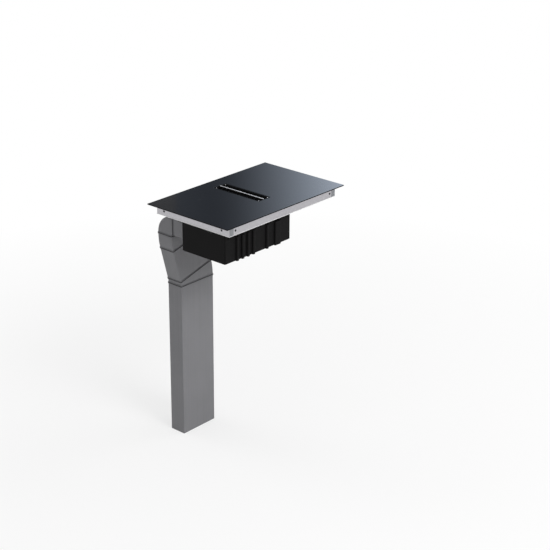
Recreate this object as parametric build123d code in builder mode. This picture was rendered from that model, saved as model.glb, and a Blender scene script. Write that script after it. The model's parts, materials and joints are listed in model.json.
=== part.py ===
from build123d import *
import os
from math import cos, pi, radians, sin

# Induction hob with a built-in downdraft extractor, hung in a worktop cut-out, and
# the flat duct that carries the air down from it. Millimetres, +Z up, the hob's front
# towards -Y. The origin is the middle of the worktop plane that the edge seal lies on.

# ------------------------------------------------------------------ driving sizes

# Glass and its seals
glass_width = 830.0
glass_depth = 515.0
glass_thick = 4.0
glass_corner = 2.0
glass_bevel = 1.0
seal_thick = 2.0
seal_width = 10.0
seal_inset = 3.0
bond_thick = 1.0
bond_width = 6.0

# Intake slot in the glass, and the stepped shaft below it
slot_width = 84.0
slot_length = 294.0
slot_back = 37.0
slot_seal_width = 1.0
shaft_wall = 3.0
shaft_corner = 4.0
shaft_sunk = 0.6
shaft_flange = 8.0
shaft_flange_thick = 2.0
first_ledge_depth = 15.4
second_ledge_depth = 20.0
shaft_tail = 45.0
lift_gap = 0.5

# Lift-out grille
grille_rim = 3.0
grille_bevel = 2.0
grille_gap_count = 12
blade_thick = 3.0
blade_height = 8.0
blade_lean = 20.0
spine_width = 10.0
spine_height = 11.5
bar_width = 8.0
bar_height = 6.0
bar_round = 1.5
pin_pad_radius = 5.0
pin_radius = 2.0
pin_socket = 8.0
pin_proud = 1.0
pad_sunk = 1.5
pin_end_inset = 6.5

# Grease filter
filter_rim_thick = 4.0
filter_rim_band = 6.0
filter_depth = 86.0
filter_end_thick = 2.0
filter_head_inset = 2.5
filter_foot_half = 13.0
filter_panel_thick = 3.2
filter_rail_height = 3.0
filter_rail_width = 7.0
mesh_columns = 10
mesh_rows = 4
mesh_hole = 13.0
cup_width = 28.0
cup_height = 20.0
cup_wall = 1.5
cup_corner = 4.0
handle_height = 12.0
handle_width = 14.0
handle_thick = 2.0
handle_reach = 6.0

# Sheet-steel tray
tray_overhang_x = 38.0
tray_overhang_y = 25.0
tray_height = 48.0
sheet = 1.0
tray_corner = 3.0
tray_flange = 8.0
clamp_hole_radius = 2.1
clamp_hole_depth = 25.0
side_hole_inset = 47.5
front_hole_inset = 42.0
vent_length = 44.0
vent_width = 4.0
vent_pitch = 9.0
vent_count = 7
rear_vent_count = 9
rear_vent_height = 20.0

# Coils and electronics in the tray
coil_radius = 98.0
coil_core_radius = 20.0
coil_winding = 5.0
coil_carrier = 5.0
coil_insulation = 1.5
coil_spread_y = 112.0
shield_thick = 1.5
shield_margin = 12.0
pillar_radius = 4.0
pillar_inset = 14.0
board_width = 170.0
board_depth = 150.0
board_thick = 1.6
board_height = 4.0
board_post_radius = 3.0
board_post_inset = 6.0
sink_width = 120.0
sink_depth = 60.0
sink_base = 4.0
sink_height = 22.0
sink_fin_count = 9
sink_fin_thick = 2.0
blower_size = 80.0
blower_height = 24.0
blower_wall = 2.0
blower_gap = 12.0
rotor_radius = 30.0
rotor_hub_radius = 15.0
rotor_blade_count = 7
rotor_blade_thick = 1.6
rotor_clearance = 2.0
spindle_radius = 2.0
touch_width = 200.0
touch_depth = 42.0
touch_thick = 3.0
touch_front = 24.0
terminal_width = 70.0
terminal_depth = 42.0
terminal_height = 30.0
terminal_side = 60.0
terminal_pole_count = 5
terminal_rib = 3.0
terminal_groove = 8.0
terminal_rear = 30.0
gland_radius = 11.0
gland_thread = 8.0
gland_lock = 5.0
gland_gap = 5.0
cable_radius = 5.5
gland_nut = 8.0
gland_nose = 14.0

# Fan housing under the tray
cover_thick = 2.5
tub_wall = 3.0
tub_height = 144.5
tub_inset_left = 8.0
tub_inset_front = 35.0
tub_corner = 7.0
tub_foot_bevel = 2.0
tub_flange = 3.0
tub_flange_thick = 2.0
tab_reach = 3.0
tab_length = 42.0
tab_front = 82.5
tab_back = 2.0
chamber_gap = 10.0
board_bay = 35.0
fan_bay_depth = 275.0
tub_back_margin = 13.0
duct_side_gap = 5.0
passage_width = 210.0
post_radius = 6.0
rib_width = 16.0
rib_proud = 8.0
rib_round = 5.0
rib_drop = 26.0
rib_start = 81.0
rib_pitch = 37.0
rib_count = 4
lone_rib = 168.0
wide_rib = 95.0
wide_rib_width = 42.0
latch_inset = 18.5
latch_width = 14.0
latch_height = 22.0
latch_drop = 4.0
latch_thick = 2.0
control_width = 24.0
control_length = 180.0
control_height = 90.0
screw_radius = 1.5
screw_head = 2.7
screw_head_height = 2.2
screw_length = 8.0

# Fan
impeller_radius = 100.0
scroll_gap = 6.0
scroll_growth = 10.0
scroll_wall = 2.5
scroll_side_gap = 11.5
scroll_front_gap = 3.5
inlet_radius = 70.0
inlet_wall = 2.0
inlet_flange = 14.0
inlet_reach = 12.0
inlet_lip = 10.0
inlet_short = 1.0
shroud_gap = 1.5
shroud_thick = 2.5
impeller_plate = 2.0
impeller_height = 72.0
impeller_sink = 15.5
blade_count = 13
impeller_blade = 2.0
blade_root = 62.0
blade_sweep = 38.0
blade_curve = 80.0
motor_flange_radius = 52.0
motor_flange_thick = 3.0
stator_radius = 38.0
stator_height = 40.0
rotor_inner_radius = 42.0
rotor_cup_wall = 4.0
rotor_cup_height = 44.0
motor_shaft_radius = 4.0
shaft_fit = 0.05
bearing_radius = 11.0
bearing_width = 7.0
motor_gap = 1.5
bush_radius = 7.0
bush_height = 5.0
bush_ring = 44.0
bush_count = 4

# Outlet collar and its non-return flaps
collar_wall = 3.0
collar_length = 30.0
collar_fit = 0.25
stop_depth = 3.4
stop_reach = 2.0
flap_thick = 1.6
flap_side_gap = 1.0
flap_edge_gap = 1.0
flap_setback = 17.0
flap_knuckle = 3.0
flap_pin_radius = 1.5
flap_pin_fit = 0.05
flap_pin_seat = 2.0
flap_rest = 0.3

# Flat duct
duct_width = 220.0
duct_height = 90.0
duct_wall = 2.0
duct_corner = 3.0
duct_drop = 3.5
stub_length = 75.0
elbow_inner = 3.5
spigot = 6.0
bend_inner = 46.0
bend_angle = 15.0
offset_length = 178.0
drop_length = 800.0
ring_width = 10.0
ring_proud = 3.0

# ------------------------------------------------------------- sizes worked out

# Levels, from the worktop plane
glass_under = seal_thick
glass_face = glass_under + glass_thick
tray_bottom = -tray_height
cover_bottom = tray_bottom - cover_thick
tub_bottom = cover_bottom - tub_height
tub_floor = tub_bottom + tub_wall
flange_top = glass_under - bond_thick
flange_bottom = flange_top - sheet

# Plans of the tray and the stepped shaft
tray_width = glass_width - 2 * tray_overhang_x
tray_depth = glass_depth - 2 * tray_overhang_y
tray_left = -tray_width / 2
tray_front = -tray_depth / 2
slot_centre = (0, slot_back)
shaft_top = glass_face - shaft_sunk
first_ledge = shaft_top - first_ledge_depth
second_ledge = first_ledge - second_ledge_depth
shaft_bottom = second_ledge - shaft_tail
slot_corner = shaft_corner + slot_seal_width
shaft_levels = (shaft_top, first_ledge, second_ledge, shaft_bottom)


def shaft_size(step):
    """Outer width and length of the shaft at one step; the next step's is its bore."""
    shrink = 2 * slot_seal_width + 2 * shaft_wall * step
    return slot_width - shrink, slot_length - shrink


grille_width = shaft_size(1)[0] - 2 * lift_gap
grille_length = shaft_size(1)[1] - 2 * lift_gap
filter_width = shaft_size(2)[0] - 2 * lift_gap
filter_length = shaft_size(2)[1] - 2 * lift_gap
skirt_width = shaft_size(3)[0] - 2 * lift_gap
skirt_length = shaft_size(3)[1] - 2 * lift_gap
filter_foot = second_ledge - filter_depth

# Plan of the fan housing
chamber_half = shaft_size(2)[0] / 2 + chamber_gap
tub_left = tray_left + tub_inset_left
tub_front = tray_front + tub_inset_front
tub_right = chamber_half + tub_wall + board_bay + tub_wall
tub_back = slot_back + slot_length / 2 + tub_back_margin
outlet_face = tub_front + fan_bay_depth

# Fan, scroll and duct
scroll_start = impeller_radius + scroll_gap
scroll_side = scroll_start + 3 * scroll_growth
fan_x = tub_left + tub_wall + scroll_side_gap + scroll_wall + scroll_side
fan_y = tub_front + tub_wall + scroll_front_gap + scroll_wall + scroll_start + 2 * scroll_growth
fan_axis = (fan_x, fan_y)
bore_width = duct_width - 2 * duct_wall
bore_height = duct_height - 2 * duct_wall
duct_x = fan_x - scroll_side + bore_width / 2
duct_top = cover_bottom - duct_drop
duct_z = duct_top - duct_height / 2
scroll_floor = duct_top - duct_height
scroll_bottom = scroll_floor - scroll_wall
neck_end = outlet_face - tub_wall - collar_wall
notch_x = duct_x + duct_width / 2 + ring_proud + duct_side_gap


tab_ys = (tub_front + tab_front, outlet_face - tab_back)
screw_xs = (tub_left - tub_flange, tub_right + tub_flange)

# ------------------------------------------------------------------ small helpers

def save(piece, label):
    """Label a finished piece and write it as its own file."""
    piece.part.label = label
    export_step(piece.part, f"parts/{label}.step")


def plan(width, depth, corner, height, centre=(0, 0)):
    """A rounded rectangle, level, at the height given."""
    with BuildSketch(Plane.XY.offset(height)) as drawn:
        with Locations(centre):
            RectangleRounded(width, depth, corner)
    return drawn.sketch


def disc(radius, height, centre, hole=0.0):
    """A level circle or ring at the height given."""
    with BuildSketch(Plane.XY.offset(height)) as drawn:
        with Locations(centre):
            Circle(radius)
            if hole:
                Circle(hole, mode=Mode.SUBTRACT)
    return drawn.sketch


def flat_ring(width, depth, corner, band, bottom, thick, centre=(0, 0)):
    """A flat rectangular ring, one band wide all round."""
    with BuildPart() as ring:
        extrude(plan(width, depth, corner, bottom, centre), amount=thick)
        hole = plan(width - 2 * band, depth - 2 * band, corner, bottom, centre)
        extrude(hole, amount=thick, mode=Mode.SUBTRACT)
    return ring


def tub_plan(height, grow=0.0):
    """The fan housing's L-shaped plan, grown outwards all round."""
    with BuildSketch(Plane.XY.offset(height)) as drawn:
        with BuildLine():
            Polyline(
                (tub_left, tub_front), (tub_right, tub_front), (tub_right, tub_back),
                (notch_x, tub_back), (notch_x, outlet_face), (tub_left, outlet_face), close=True,
            )
        make_face()
        if grow:
            offset(amount=grow, kind=Kind.INTERSECTION)
        fillet(drawn.vertices(), radius=tub_corner + min(grow, 0))
    return drawn.sketch


def tab_plan(height):
    """The four screw tabs that stand out from the housing's flange."""
    with BuildSketch(Plane.XY.offset(height)) as drawn:
        with Locations(*[(x, y) for x in (tub_left, tub_right) for y in tab_ys]):
            Rectangle(2 * (tub_flange + tab_reach), tab_length)
    return drawn.sketch


def tab_screws(radius, height):
    """Level circles at the middle of the four screw tabs."""
    with BuildSketch(Plane.XY.offset(height)) as drawn:
        with Locations(*[(x, y) for x in screw_xs for y in tab_ys]):
            Circle(radius)
    return drawn.sketch


os.makedirs("parts", exist_ok=True)

# ------------------------------------------------------------ glass and its seals

with BuildPart() as glass_top:
    extrude(plan(glass_width, glass_depth, glass_corner, glass_under), amount=glass_thick)
    opening = plan(slot_width, slot_length, slot_corner, glass_under, slot_centre)
    extrude(opening, amount=glass_thick, mode=Mode.SUBTRACT)
    chamfer(glass_top.faces().sort_by(Axis.Z)[-1].edges(), length=glass_bevel)
save(glass_top, "glass_top")

edge_seal = flat_ring(
    glass_width - 2 * seal_inset, glass_depth - 2 * seal_inset, glass_corner,
    seal_width, 0, seal_thick,
)
save(edge_seal, "edge_seal")

bond_bead = flat_ring(
    tray_width + 2 * tray_flange, tray_depth + 2 * tray_flange, tray_corner,
    bond_width, flange_top, bond_thick,
)
save(bond_bead, "bond_bead")


# --------------------------------------------------------------- sheet-steel tray

def clamp_holes(face_plane, spacing):
    """Two clamp-screw holes in line on one wall of the tray."""
    with BuildSketch(face_plane) as drawn:
        with GridLocations(spacing, 1, 2, 1):
            Circle(clamp_hole_radius)
    return drawn.sketch


hole_level = -clamp_hole_depth
left_wall = Plane(origin=(0, 0, hole_level), x_dir=(0, 1, 0), z_dir=(1, 0, 0))
front_wall = Plane(origin=(0, 0, hole_level), x_dir=(1, 0, 0), z_dir=(0, -1, 0))
side_spacing = tray_depth - 2 * side_hole_inset
front_spacing = tray_width - 2 * front_hole_inset
bay_centre_x = (tray_width / 2 + chamber_half) / 2
bay_y = board_depth / 2 + blower_gap
board_x = bay_centre_x - (blower_size + blower_gap) / 2
blower_x = board_x + board_width / 2 + blower_gap + blower_size / 2
bays = {"front": -bay_y, "rear": bay_y}
terminal_centre = (tray_width / 2 - terminal_side - terminal_width / 2, tray_depth / 2 - terminal_rear)
gland_centre = (terminal_centre[0] + terminal_width / 2 + gland_radius + gland_gap, terminal_centre[1])

# The floor is two plates, joined by a strap before and a strap behind the shaft.
mouth_width = shaft_size(2)[0] + 2 * lift_gap
mouth_length = shaft_size(2)[1] + 2 * lift_gap
with BuildPart() as tray_floor:
    extrude(plan(tray_width, tray_depth, tray_corner, tray_bottom), amount=sheet)
    with BuildSketch(Plane.XY.offset(tray_bottom)):
        Rectangle(mouth_width, tray_depth)
    extrude(amount=sheet, mode=Mode.SUBTRACT)
    with BuildSketch(Plane.XY.offset(tray_bottom)):
        with Locations(*[(blower_x, y) for y in bays.values()]):
            with GridLocations(1, vent_pitch, 1, vent_count):
                Rectangle(vent_length, vent_width)
    extrude(amount=sheet, mode=Mode.SUBTRACT)
    extrude(disc(gland_thread, tray_bottom, gland_centre), amount=sheet, mode=Mode.SUBTRACT)
    extrude(tab_screws(screw_radius, tray_bottom), amount=sheet, mode=Mode.SUBTRACT)
save(tray_floor, "tray_floor")

with BuildPart() as tray_straps:
    with BuildSketch(Plane.XY.offset(tray_bottom)):
        Rectangle(mouth_width, tray_depth)
        with Locations(slot_centre):
            Rectangle(mouth_width, mouth_length, mode=Mode.SUBTRACT)
    extrude(amount=sheet)
save(tray_straps, "tray_straps")

with BuildPart() as tray:
    wall_foot = tray_bottom + sheet
    wall_height = flange_top - wall_foot
    extrude(plan(tray_width, tray_depth, tray_corner, wall_foot), amount=wall_height)
    rim = plan(tray_width + 2 * tray_flange, tray_depth + 2 * tray_flange, tray_corner, flange_bottom)
    extrude(rim, amount=sheet)
    inside = plan(tray_width - 2 * sheet, tray_depth - 2 * sheet, tray_corner - sheet, wall_foot)
    extrude(inside, amount=wall_height, mode=Mode.SUBTRACT)
    extrude(clamp_holes(left_wall, side_spacing), amount=tray_width, both=True, mode=Mode.SUBTRACT)
    extrude(clamp_holes(front_wall, front_spacing), amount=tray_depth, both=True, mode=Mode.SUBTRACT)
    rear_wall = Plane(
        origin=(bay_centre_x, tray_depth / 2 - sheet, tray_bottom / 2),
        x_dir=(1, 0, 0), z_dir=(0, 1, 0),
    )
    with BuildSketch(rear_wall):
        with GridLocations(vent_pitch, 1, rear_vent_count, 1):
            Rectangle(vent_width, rear_vent_height)
    extrude(amount=sheet, mode=Mode.SUBTRACT)
save(tray, "tray")

# -------------------------------------------------------------- shaft below the slot

with BuildPart() as intake_shaft:
    for step in range(3):
        width, length = shaft_size(step)
        top = shaft_levels[step]
        foot = shaft_levels[step + 1] - (shaft_wall if step < 2 else 0)
        extrude(plan(width, length, shaft_corner, foot, slot_centre), amount=top - foot)
    lip = plan(
        shaft_size(0)[0] + 2 * shaft_flange, shaft_size(0)[1] + 2 * shaft_flange,
        shaft_corner, glass_under - shaft_flange_thick, slot_centre,
    )
    extrude(lip, amount=shaft_flange_thick)
    for step in range(3):
        width, length = shaft_size(step + 1)
        top = shaft_levels[step]
        foot = shaft_levels[step + 1]
        bore = plan(width, length, shaft_corner, foot, slot_centre)
        extrude(bore, amount=top - foot, mode=Mode.SUBTRACT)
save(intake_shaft, "intake_shaft")

# The seal fills what the shaft leaves of the glass's opening.
with BuildPart() as slot_seal:
    opening = plan(slot_width, slot_length, slot_corner, glass_under, slot_centre)
    extrude(opening, amount=glass_thick - glass_bevel)
    core = plan(*shaft_size(0), shaft_corner, glass_under, slot_centre)
    extrude(core, amount=glass_thick - glass_bevel, mode=Mode.SUBTRACT)
save(slot_seal, "slot_seal")

# ------------------------------------------------------------------ lift-out grille

spine_top = first_ledge + spine_height
pad_top = shaft_top - pad_sunk
pin_x = grille_width / 2 - grille_rim - pin_pad_radius / 2
pin_y = grille_length / 2 - pin_end_inset
blade_span = grille_length - 2 * grille_rim
blade_pitch = blade_span / grille_gap_count
blade_level = first_ledge + blade_height / 2 + blade_thick / 2


def pin_circles(radius, height):
    """Four level circles at the grille's corner pins."""
    with BuildSketch(Plane.XY.offset(height)) as drawn:
        with Locations(slot_centre):
            with GridLocations(2 * pin_x, 2 * pin_y, 2, 2):
                Circle(radius)
    return drawn.sketch


with BuildPart() as intake_grille:
    rim_height = shaft_top - first_ledge
    extrude(plan(grille_width, grille_length, shaft_corner, first_ledge, slot_centre), amount=rim_height)
    hollow = plan(
        grille_width - 2 * grille_rim, grille_length - 2 * grille_rim,
        shaft_corner - grille_rim, first_ledge, slot_centre,
    )
    extrude(hollow, amount=rim_height, mode=Mode.SUBTRACT)
    long_edges = intake_grille.edges().filter_by(Axis.Y).group_by(Axis.Z)[-1].group_by(Axis.X)
    chamfer(long_edges[1] + long_edges[-2], length=grille_bevel)
    with BuildSketch(Plane.XY.offset(first_ledge)):
        with Locations(slot_centre):
            Rectangle(spine_width, grille_length - grille_rim)
    extrude(amount=spine_height)
    blade_side = Plane(origin=(0, slot_back, blade_level), x_dir=(0, 1, 0), z_dir=(1, 0, 0))
    with BuildSketch(blade_side):
        with GridLocations(blade_pitch, 1, grille_gap_count - 1, 1):
            Rectangle(blade_thick, blade_height, rotation=blade_lean)
    extrude(amount=grille_width / 2 - grille_rim, both=True)
    extrude(pin_circles(pin_pad_radius, first_ledge), amount=pad_top - first_ledge)
    with BuildSketch(Plane.XY.offset(spine_top)):
        with Locations(slot_centre):
            Rectangle(bar_width, grille_length)
    extrude(amount=rim_height, mode=Mode.SUBTRACT)
    extrude(pin_circles(pin_radius, pad_top - pin_socket), amount=pin_socket, mode=Mode.SUBTRACT)
save(intake_grille, "intake_grille")

with BuildPart() as centre_bar:
    with BuildSketch(Plane.XY.offset(spine_top)):
        with Locations(slot_centre):
            Rectangle(bar_width, grille_length)
    extrude(amount=bar_height)
    fillet(centre_bar.faces().sort_by(Axis.Z)[-1].edges().filter_by(Axis.Y), radius=bar_round)
save(centre_bar, "centre_bar")

with BuildPart() as grille_pins:
    extrude(pin_circles(pin_radius, pad_top - pin_socket), amount=pin_socket + pin_proud)
save(grille_pins, "grille_pins")

# ------------------------------------------------------------------- grease filter

rail_top = filter_foot
rim_inner = filter_rim_band
panel_length = skirt_length - 2 * filter_end_thick
panel_head = skirt_width / 2 - filter_head_inset
panel_side = Plane(origin=(0, slot_back, 0), x_dir=(1, 0, 0), z_dir=(0, -1, 0))


def panel_profile(side):
    """The slanted section of one mesh panel, seen from the front."""
    head_in = side * (panel_head - filter_panel_thick)
    foot_in = side * (filter_foot_half - filter_panel_thick)
    with BuildSketch(panel_side) as drawn:
        with BuildLine():
            Polyline(
                (side * panel_head, second_ledge), (side * filter_foot_half, filter_foot),
                (foot_in, filter_foot), (head_in, second_ledge), close=True,
            )
        make_face()
    return drawn.sketch


def filter_mesh(side):
    """One slanted mesh panel with its lozenge openings."""
    level = (second_ledge + filter_foot) / 2
    through = Plane(origin=(0, slot_back, level), x_dir=(0, 1, 0), z_dir=(side, 0, 0))
    with BuildPart() as mesh:
        extrude(panel_profile(side), amount=panel_length / 2, both=True)
        with BuildSketch(through):
            pitch_y = panel_length / (mesh_columns + 0.5)
            pitch_z = filter_depth / (mesh_rows + 0.5)
            with GridLocations(pitch_y, pitch_z, mesh_columns, mesh_rows):
                Rectangle(mesh_hole, mesh_hole, rotation=45)
        extrude(amount=panel_head + filter_panel_thick, mode=Mode.SUBTRACT)
    return mesh


with BuildPart() as filter_frame:
    rim = plan(filter_width, filter_length, shaft_corner, second_ledge, slot_centre)
    extrude(rim, amount=filter_rim_thick)
    throat = plan(
        filter_width - 2 * rim_inner, filter_length - 2 * rim_inner, shaft_corner,
        second_ledge, slot_centre,
    )
    extrude(throat, amount=filter_rim_thick, mode=Mode.SUBTRACT)
    for end in (-1, 1):
        outer = slot_back + end * skirt_length / 2
        with BuildSketch(Plane(origin=(0, outer, 0), x_dir=(1, 0, 0), z_dir=(0, -1, 0))):
            with BuildLine():
                Polyline(
                    (panel_head, second_ledge), (filter_foot_half, filter_foot),
                    (-filter_foot_half, filter_foot), (-panel_head, second_ledge), close=True,
                )
            make_face()
        extrude(amount=end * filter_end_thick)
    for side in (-1, 1):
        centre_x = side * (filter_foot_half - filter_rail_width / 2)
        with BuildSketch(Plane.XY.offset(filter_foot - filter_rail_height)):
            with Locations((centre_x, slot_back)):
                Rectangle(filter_rail_width, skirt_length)
        extrude(amount=filter_rail_height)
save(filter_frame, "filter_frame")

save(filter_mesh(-1), "filter_mesh_left")
save(filter_mesh(1), "filter_mesh_right")

cup_top = filter_foot - filter_rail_height
cup_bottom = cup_top - cup_height
with BuildPart() as filter_cup:
    extrude(plan(cup_width, skirt_length, cup_corner, cup_bottom, slot_centre), amount=cup_height)
    hollow = plan(
        cup_width - 2 * cup_wall, skirt_length - 2 * cup_wall, cup_corner - cup_wall,
        cup_bottom + cup_wall, slot_centre,
    )
    extrude(hollow, amount=cup_height, mode=Mode.SUBTRACT)
save(filter_cup, "filter_cup")

handle_foot = second_ledge + filter_rim_thick
handle_top = handle_foot + handle_height
handle_half = filter_width / 2 - handle_thick
with BuildPart() as filter_handle:
    with BuildSketch(panel_side):
        with BuildLine():
            Polyline(
                (-handle_half, handle_foot), (handle_reach - handle_half, handle_top),
                (handle_half - handle_reach, handle_top), (handle_half, handle_foot),
                (handle_half - handle_thick, handle_foot),
                (handle_half - handle_reach - handle_thick, handle_top - handle_thick),
                (handle_reach + handle_thick - handle_half, handle_top - handle_thick),
                (handle_thick - handle_half, handle_foot), close=True,
            )
        make_face()
    extrude(amount=handle_width / 2, both=True)
save(filter_handle, "filter_handle")

# --------------------------------------------------------- coils and electronics

coil_top = glass_under - coil_insulation
winding_bottom = coil_top - coil_winding
carrier_bottom = winding_bottom - coil_carrier
shield_bottom = carrier_bottom - shield_thick
pillar_foot = tray_bottom + sheet
bay_width = tray_width / 2 - shaft_size(0)[0] / 2 - shaft_flange
coil_centres = {
    "front_left": (-bay_centre_x, -coil_spread_y), "rear_left": (-bay_centre_x, coil_spread_y),
    "front_right": (bay_centre_x, -coil_spread_y), "rear_right": (bay_centre_x, coil_spread_y),
}


def coil(centre):
    """One flat winding, with its cover sheet on top."""
    with BuildPart() as winding:
        extrude(disc(coil_radius, winding_bottom, centre, coil_core_radius),
                amount=coil_winding + coil_insulation)
    return winding


for place, centre in coil_centres.items():
    save(coil(centre), f"coil_{place}")

with BuildPart() as coil_carriers:
    for centre in coil_centres.values():
        extrude(disc(coil_radius, carrier_bottom, centre), amount=coil_carrier)
        extrude(disc(coil_core_radius, winding_bottom, centre), amount=coil_winding)
save(coil_carriers, "coil_carriers")


def shield_plate(side):
    """The aluminium sheet under two coils, on four pillars of its own."""
    plate_width = bay_width - 2 * shield_margin
    plate_depth = tray_depth - 2 * shield_margin
    centre = (side * bay_centre_x, 0)
    with BuildPart() as plate:
        extrude(plan(plate_width, plate_depth, tray_corner, shield_bottom, centre), amount=shield_thick)
        with BuildSketch(Plane.XY.offset(pillar_foot)):
            with Locations(centre):
                with GridLocations(plate_width - 2 * pillar_inset, plate_depth - 2 * pillar_inset, 2, 2):
                    Circle(pillar_radius)
        extrude(amount=shield_bottom - pillar_foot)
    return plate


save(shield_plate(-1), "shield_plate_left")
save(shield_plate(1), "shield_plate_right")

board_bottom = pillar_foot + board_height
board_top = board_bottom + board_thick


def power_board(centre):
    """One power board on its posts, in the bay under the right-hand coils."""
    with BuildPart() as board:
        extrude(plan(board_width, board_depth, tray_corner, board_bottom, centre), amount=board_thick)
        with BuildSketch(Plane.XY.offset(pillar_foot)):
            with Locations(centre):
                with GridLocations(board_width - 2 * board_post_inset,
                                   board_depth - 2 * board_post_inset, 2, 2):
                    Circle(board_post_radius)
        extrude(amount=board_height)
    return board


def heat_sink(centre):
    """The finned aluminium block on one power board."""
    with BuildPart() as sink:
        with BuildSketch(Plane.XY.offset(board_top)):
            with Locations(centre):
                Rectangle(sink_width, sink_depth)
        extrude(amount=sink_base)
        with BuildSketch(Plane.XY.offset(board_top + sink_base)):
            with Locations(centre):
                with GridLocations(1, (sink_depth - sink_fin_thick) / (sink_fin_count - 1), 1, sink_fin_count):
                    Rectangle(sink_width, sink_fin_thick)
        extrude(amount=sink_height - sink_base)
    return sink


def blower_frame(centre):
    """The casing of one cooling blower: inlet below, outlet towards the heat sink, spindle inside."""
    floor = pillar_foot + blower_wall
    room = blower_height - 2 * blower_wall
    with BuildPart() as frame:
        extrude(plan(blower_size, blower_size, tray_corner, pillar_foot, centre), amount=blower_height)
        extrude(disc(rotor_radius + rotor_clearance, floor, centre), amount=room, mode=Mode.SUBTRACT)
        extrude(disc(rotor_radius - rotor_clearance, pillar_foot, centre), amount=blower_wall,
                mode=Mode.SUBTRACT)
        with BuildSketch(Plane.XY.offset(floor)):
            with Locations((centre[0] - blower_size / 4, centre[1])):
                Rectangle(blower_size / 2, 2 * rotor_radius)
        extrude(amount=room, mode=Mode.SUBTRACT)
        extrude(disc(spindle_radius, floor, centre), amount=room)
    return frame


def blower_rotor(centre):
    """The bladed rotor of one cooling blower, bored for its spindle."""
    foot = pillar_foot + blower_wall + rotor_clearance
    height = blower_height - 2 * blower_wall - 2 * rotor_clearance
    with BuildPart() as rotor:
        extrude(disc(rotor_hub_radius, foot, centre), amount=height)
        with BuildSketch(Plane.XY.offset(foot)):
            with Locations(centre):
                with PolarLocations((rotor_hub_radius + rotor_radius) / 2 - rotor_clearance, rotor_blade_count):
                    Rectangle(rotor_radius - rotor_hub_radius, rotor_blade_thick)
        extrude(amount=height)
        extrude(disc(spindle_radius + shaft_fit, foot, centre), amount=height, mode=Mode.SUBTRACT)
    return rotor


for place, y in bays.items():
    save(power_board((board_x, y)), f"power_board_{place}")
    save(heat_sink((board_x, y)), f"heat_sink_{place}")
    save(blower_frame((blower_x, y)), f"cooling_fan_frame_{place}")
    save(blower_rotor((blower_x, y)), f"cooling_fan_rotor_{place}")

with BuildPart() as terminal_block:
    extrude(plan(terminal_width, terminal_depth, tray_corner, pillar_foot, terminal_centre),
            amount=terminal_height)
    with BuildSketch(Plane.XY.offset(pillar_foot + terminal_height - terminal_groove)):
        with Locations(terminal_centre):
            with GridLocations(terminal_width / terminal_pole_count, 1, terminal_pole_count, 1):
                Rectangle(terminal_width / terminal_pole_count - terminal_rib, terminal_depth / 2)
    extrude(amount=terminal_groove, mode=Mode.SUBTRACT)
save(terminal_block, "terminal_block")

with BuildPart() as mains_gland:
    thread_top = tray_bottom + sheet + gland_lock
    nut_foot = tray_bottom - gland_nut
    nose_foot = nut_foot - gland_nose
    extrude(disc(gland_thread, tray_bottom, gland_centre), amount=thread_top - tray_bottom)
    with BuildSketch(Plane.XY.offset(nut_foot)):
        with Locations(gland_centre):
            RegularPolygon(gland_radius, 6)
    extrude(amount=gland_nut)
    with BuildSketch(Plane.XY.offset(tray_bottom + sheet)):
        with Locations(gland_centre):
            RegularPolygon(gland_radius, 6)
    extrude(amount=gland_lock)
    extrude(disc(gland_thread, nose_foot, gland_centre), amount=gland_nose)
    extrude(disc(cable_radius, nose_foot, gland_centre), amount=thread_top - nose_foot, mode=Mode.SUBTRACT)
save(mains_gland, "mains_gland")

with BuildPart() as touch_board:
    touch_y = -glass_depth / 2 + tray_overhang_y + touch_front + touch_depth / 2
    extrude(plan(touch_width, touch_depth, tray_corner, glass_under - touch_thick, (0, touch_y)),
            amount=touch_thick)
save(touch_board, "touch_board")

# ------------------------------------------------------------- fan housing

latch_xs = (tub_left + latch_inset, tub_right - latch_inset)
latch_foot = cover_bottom - latch_drop - latch_height
with BuildPart() as housing_cover:
    extrude(tub_plan(cover_bottom, tub_flange), amount=cover_thick)
    extrude(tab_plan(cover_bottom), amount=cover_thick)
    shaft_hole = plan(
        shaft_size(2)[0] + 2 * lift_gap, shaft_size(2)[1] + 2 * lift_gap, shaft_corner,
        cover_bottom, slot_centre,
    )
    extrude(shaft_hole, amount=cover_thick, mode=Mode.SUBTRACT)
    extrude(tab_screws(screw_radius, cover_bottom), amount=cover_thick, mode=Mode.SUBTRACT)
    with BuildSketch(Plane.XY.offset(latch_foot)):
        with Locations(*[(x, tub_front + tub_wall + latch_thick / 2) for x in latch_xs]):
            Rectangle(latch_width - latch_thick, latch_thick)
    extrude(amount=cover_bottom - latch_foot)
    with BuildSketch(Plane.XY.offset(latch_foot + latch_thick)):
        with Locations(*[(x, tub_front + tub_wall - latch_thick / 2) for x in latch_xs]):
            Rectangle(latch_width - latch_thick, latch_thick)
    extrude(amount=latch_height / 2)
save(housing_cover, "housing_cover")

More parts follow.
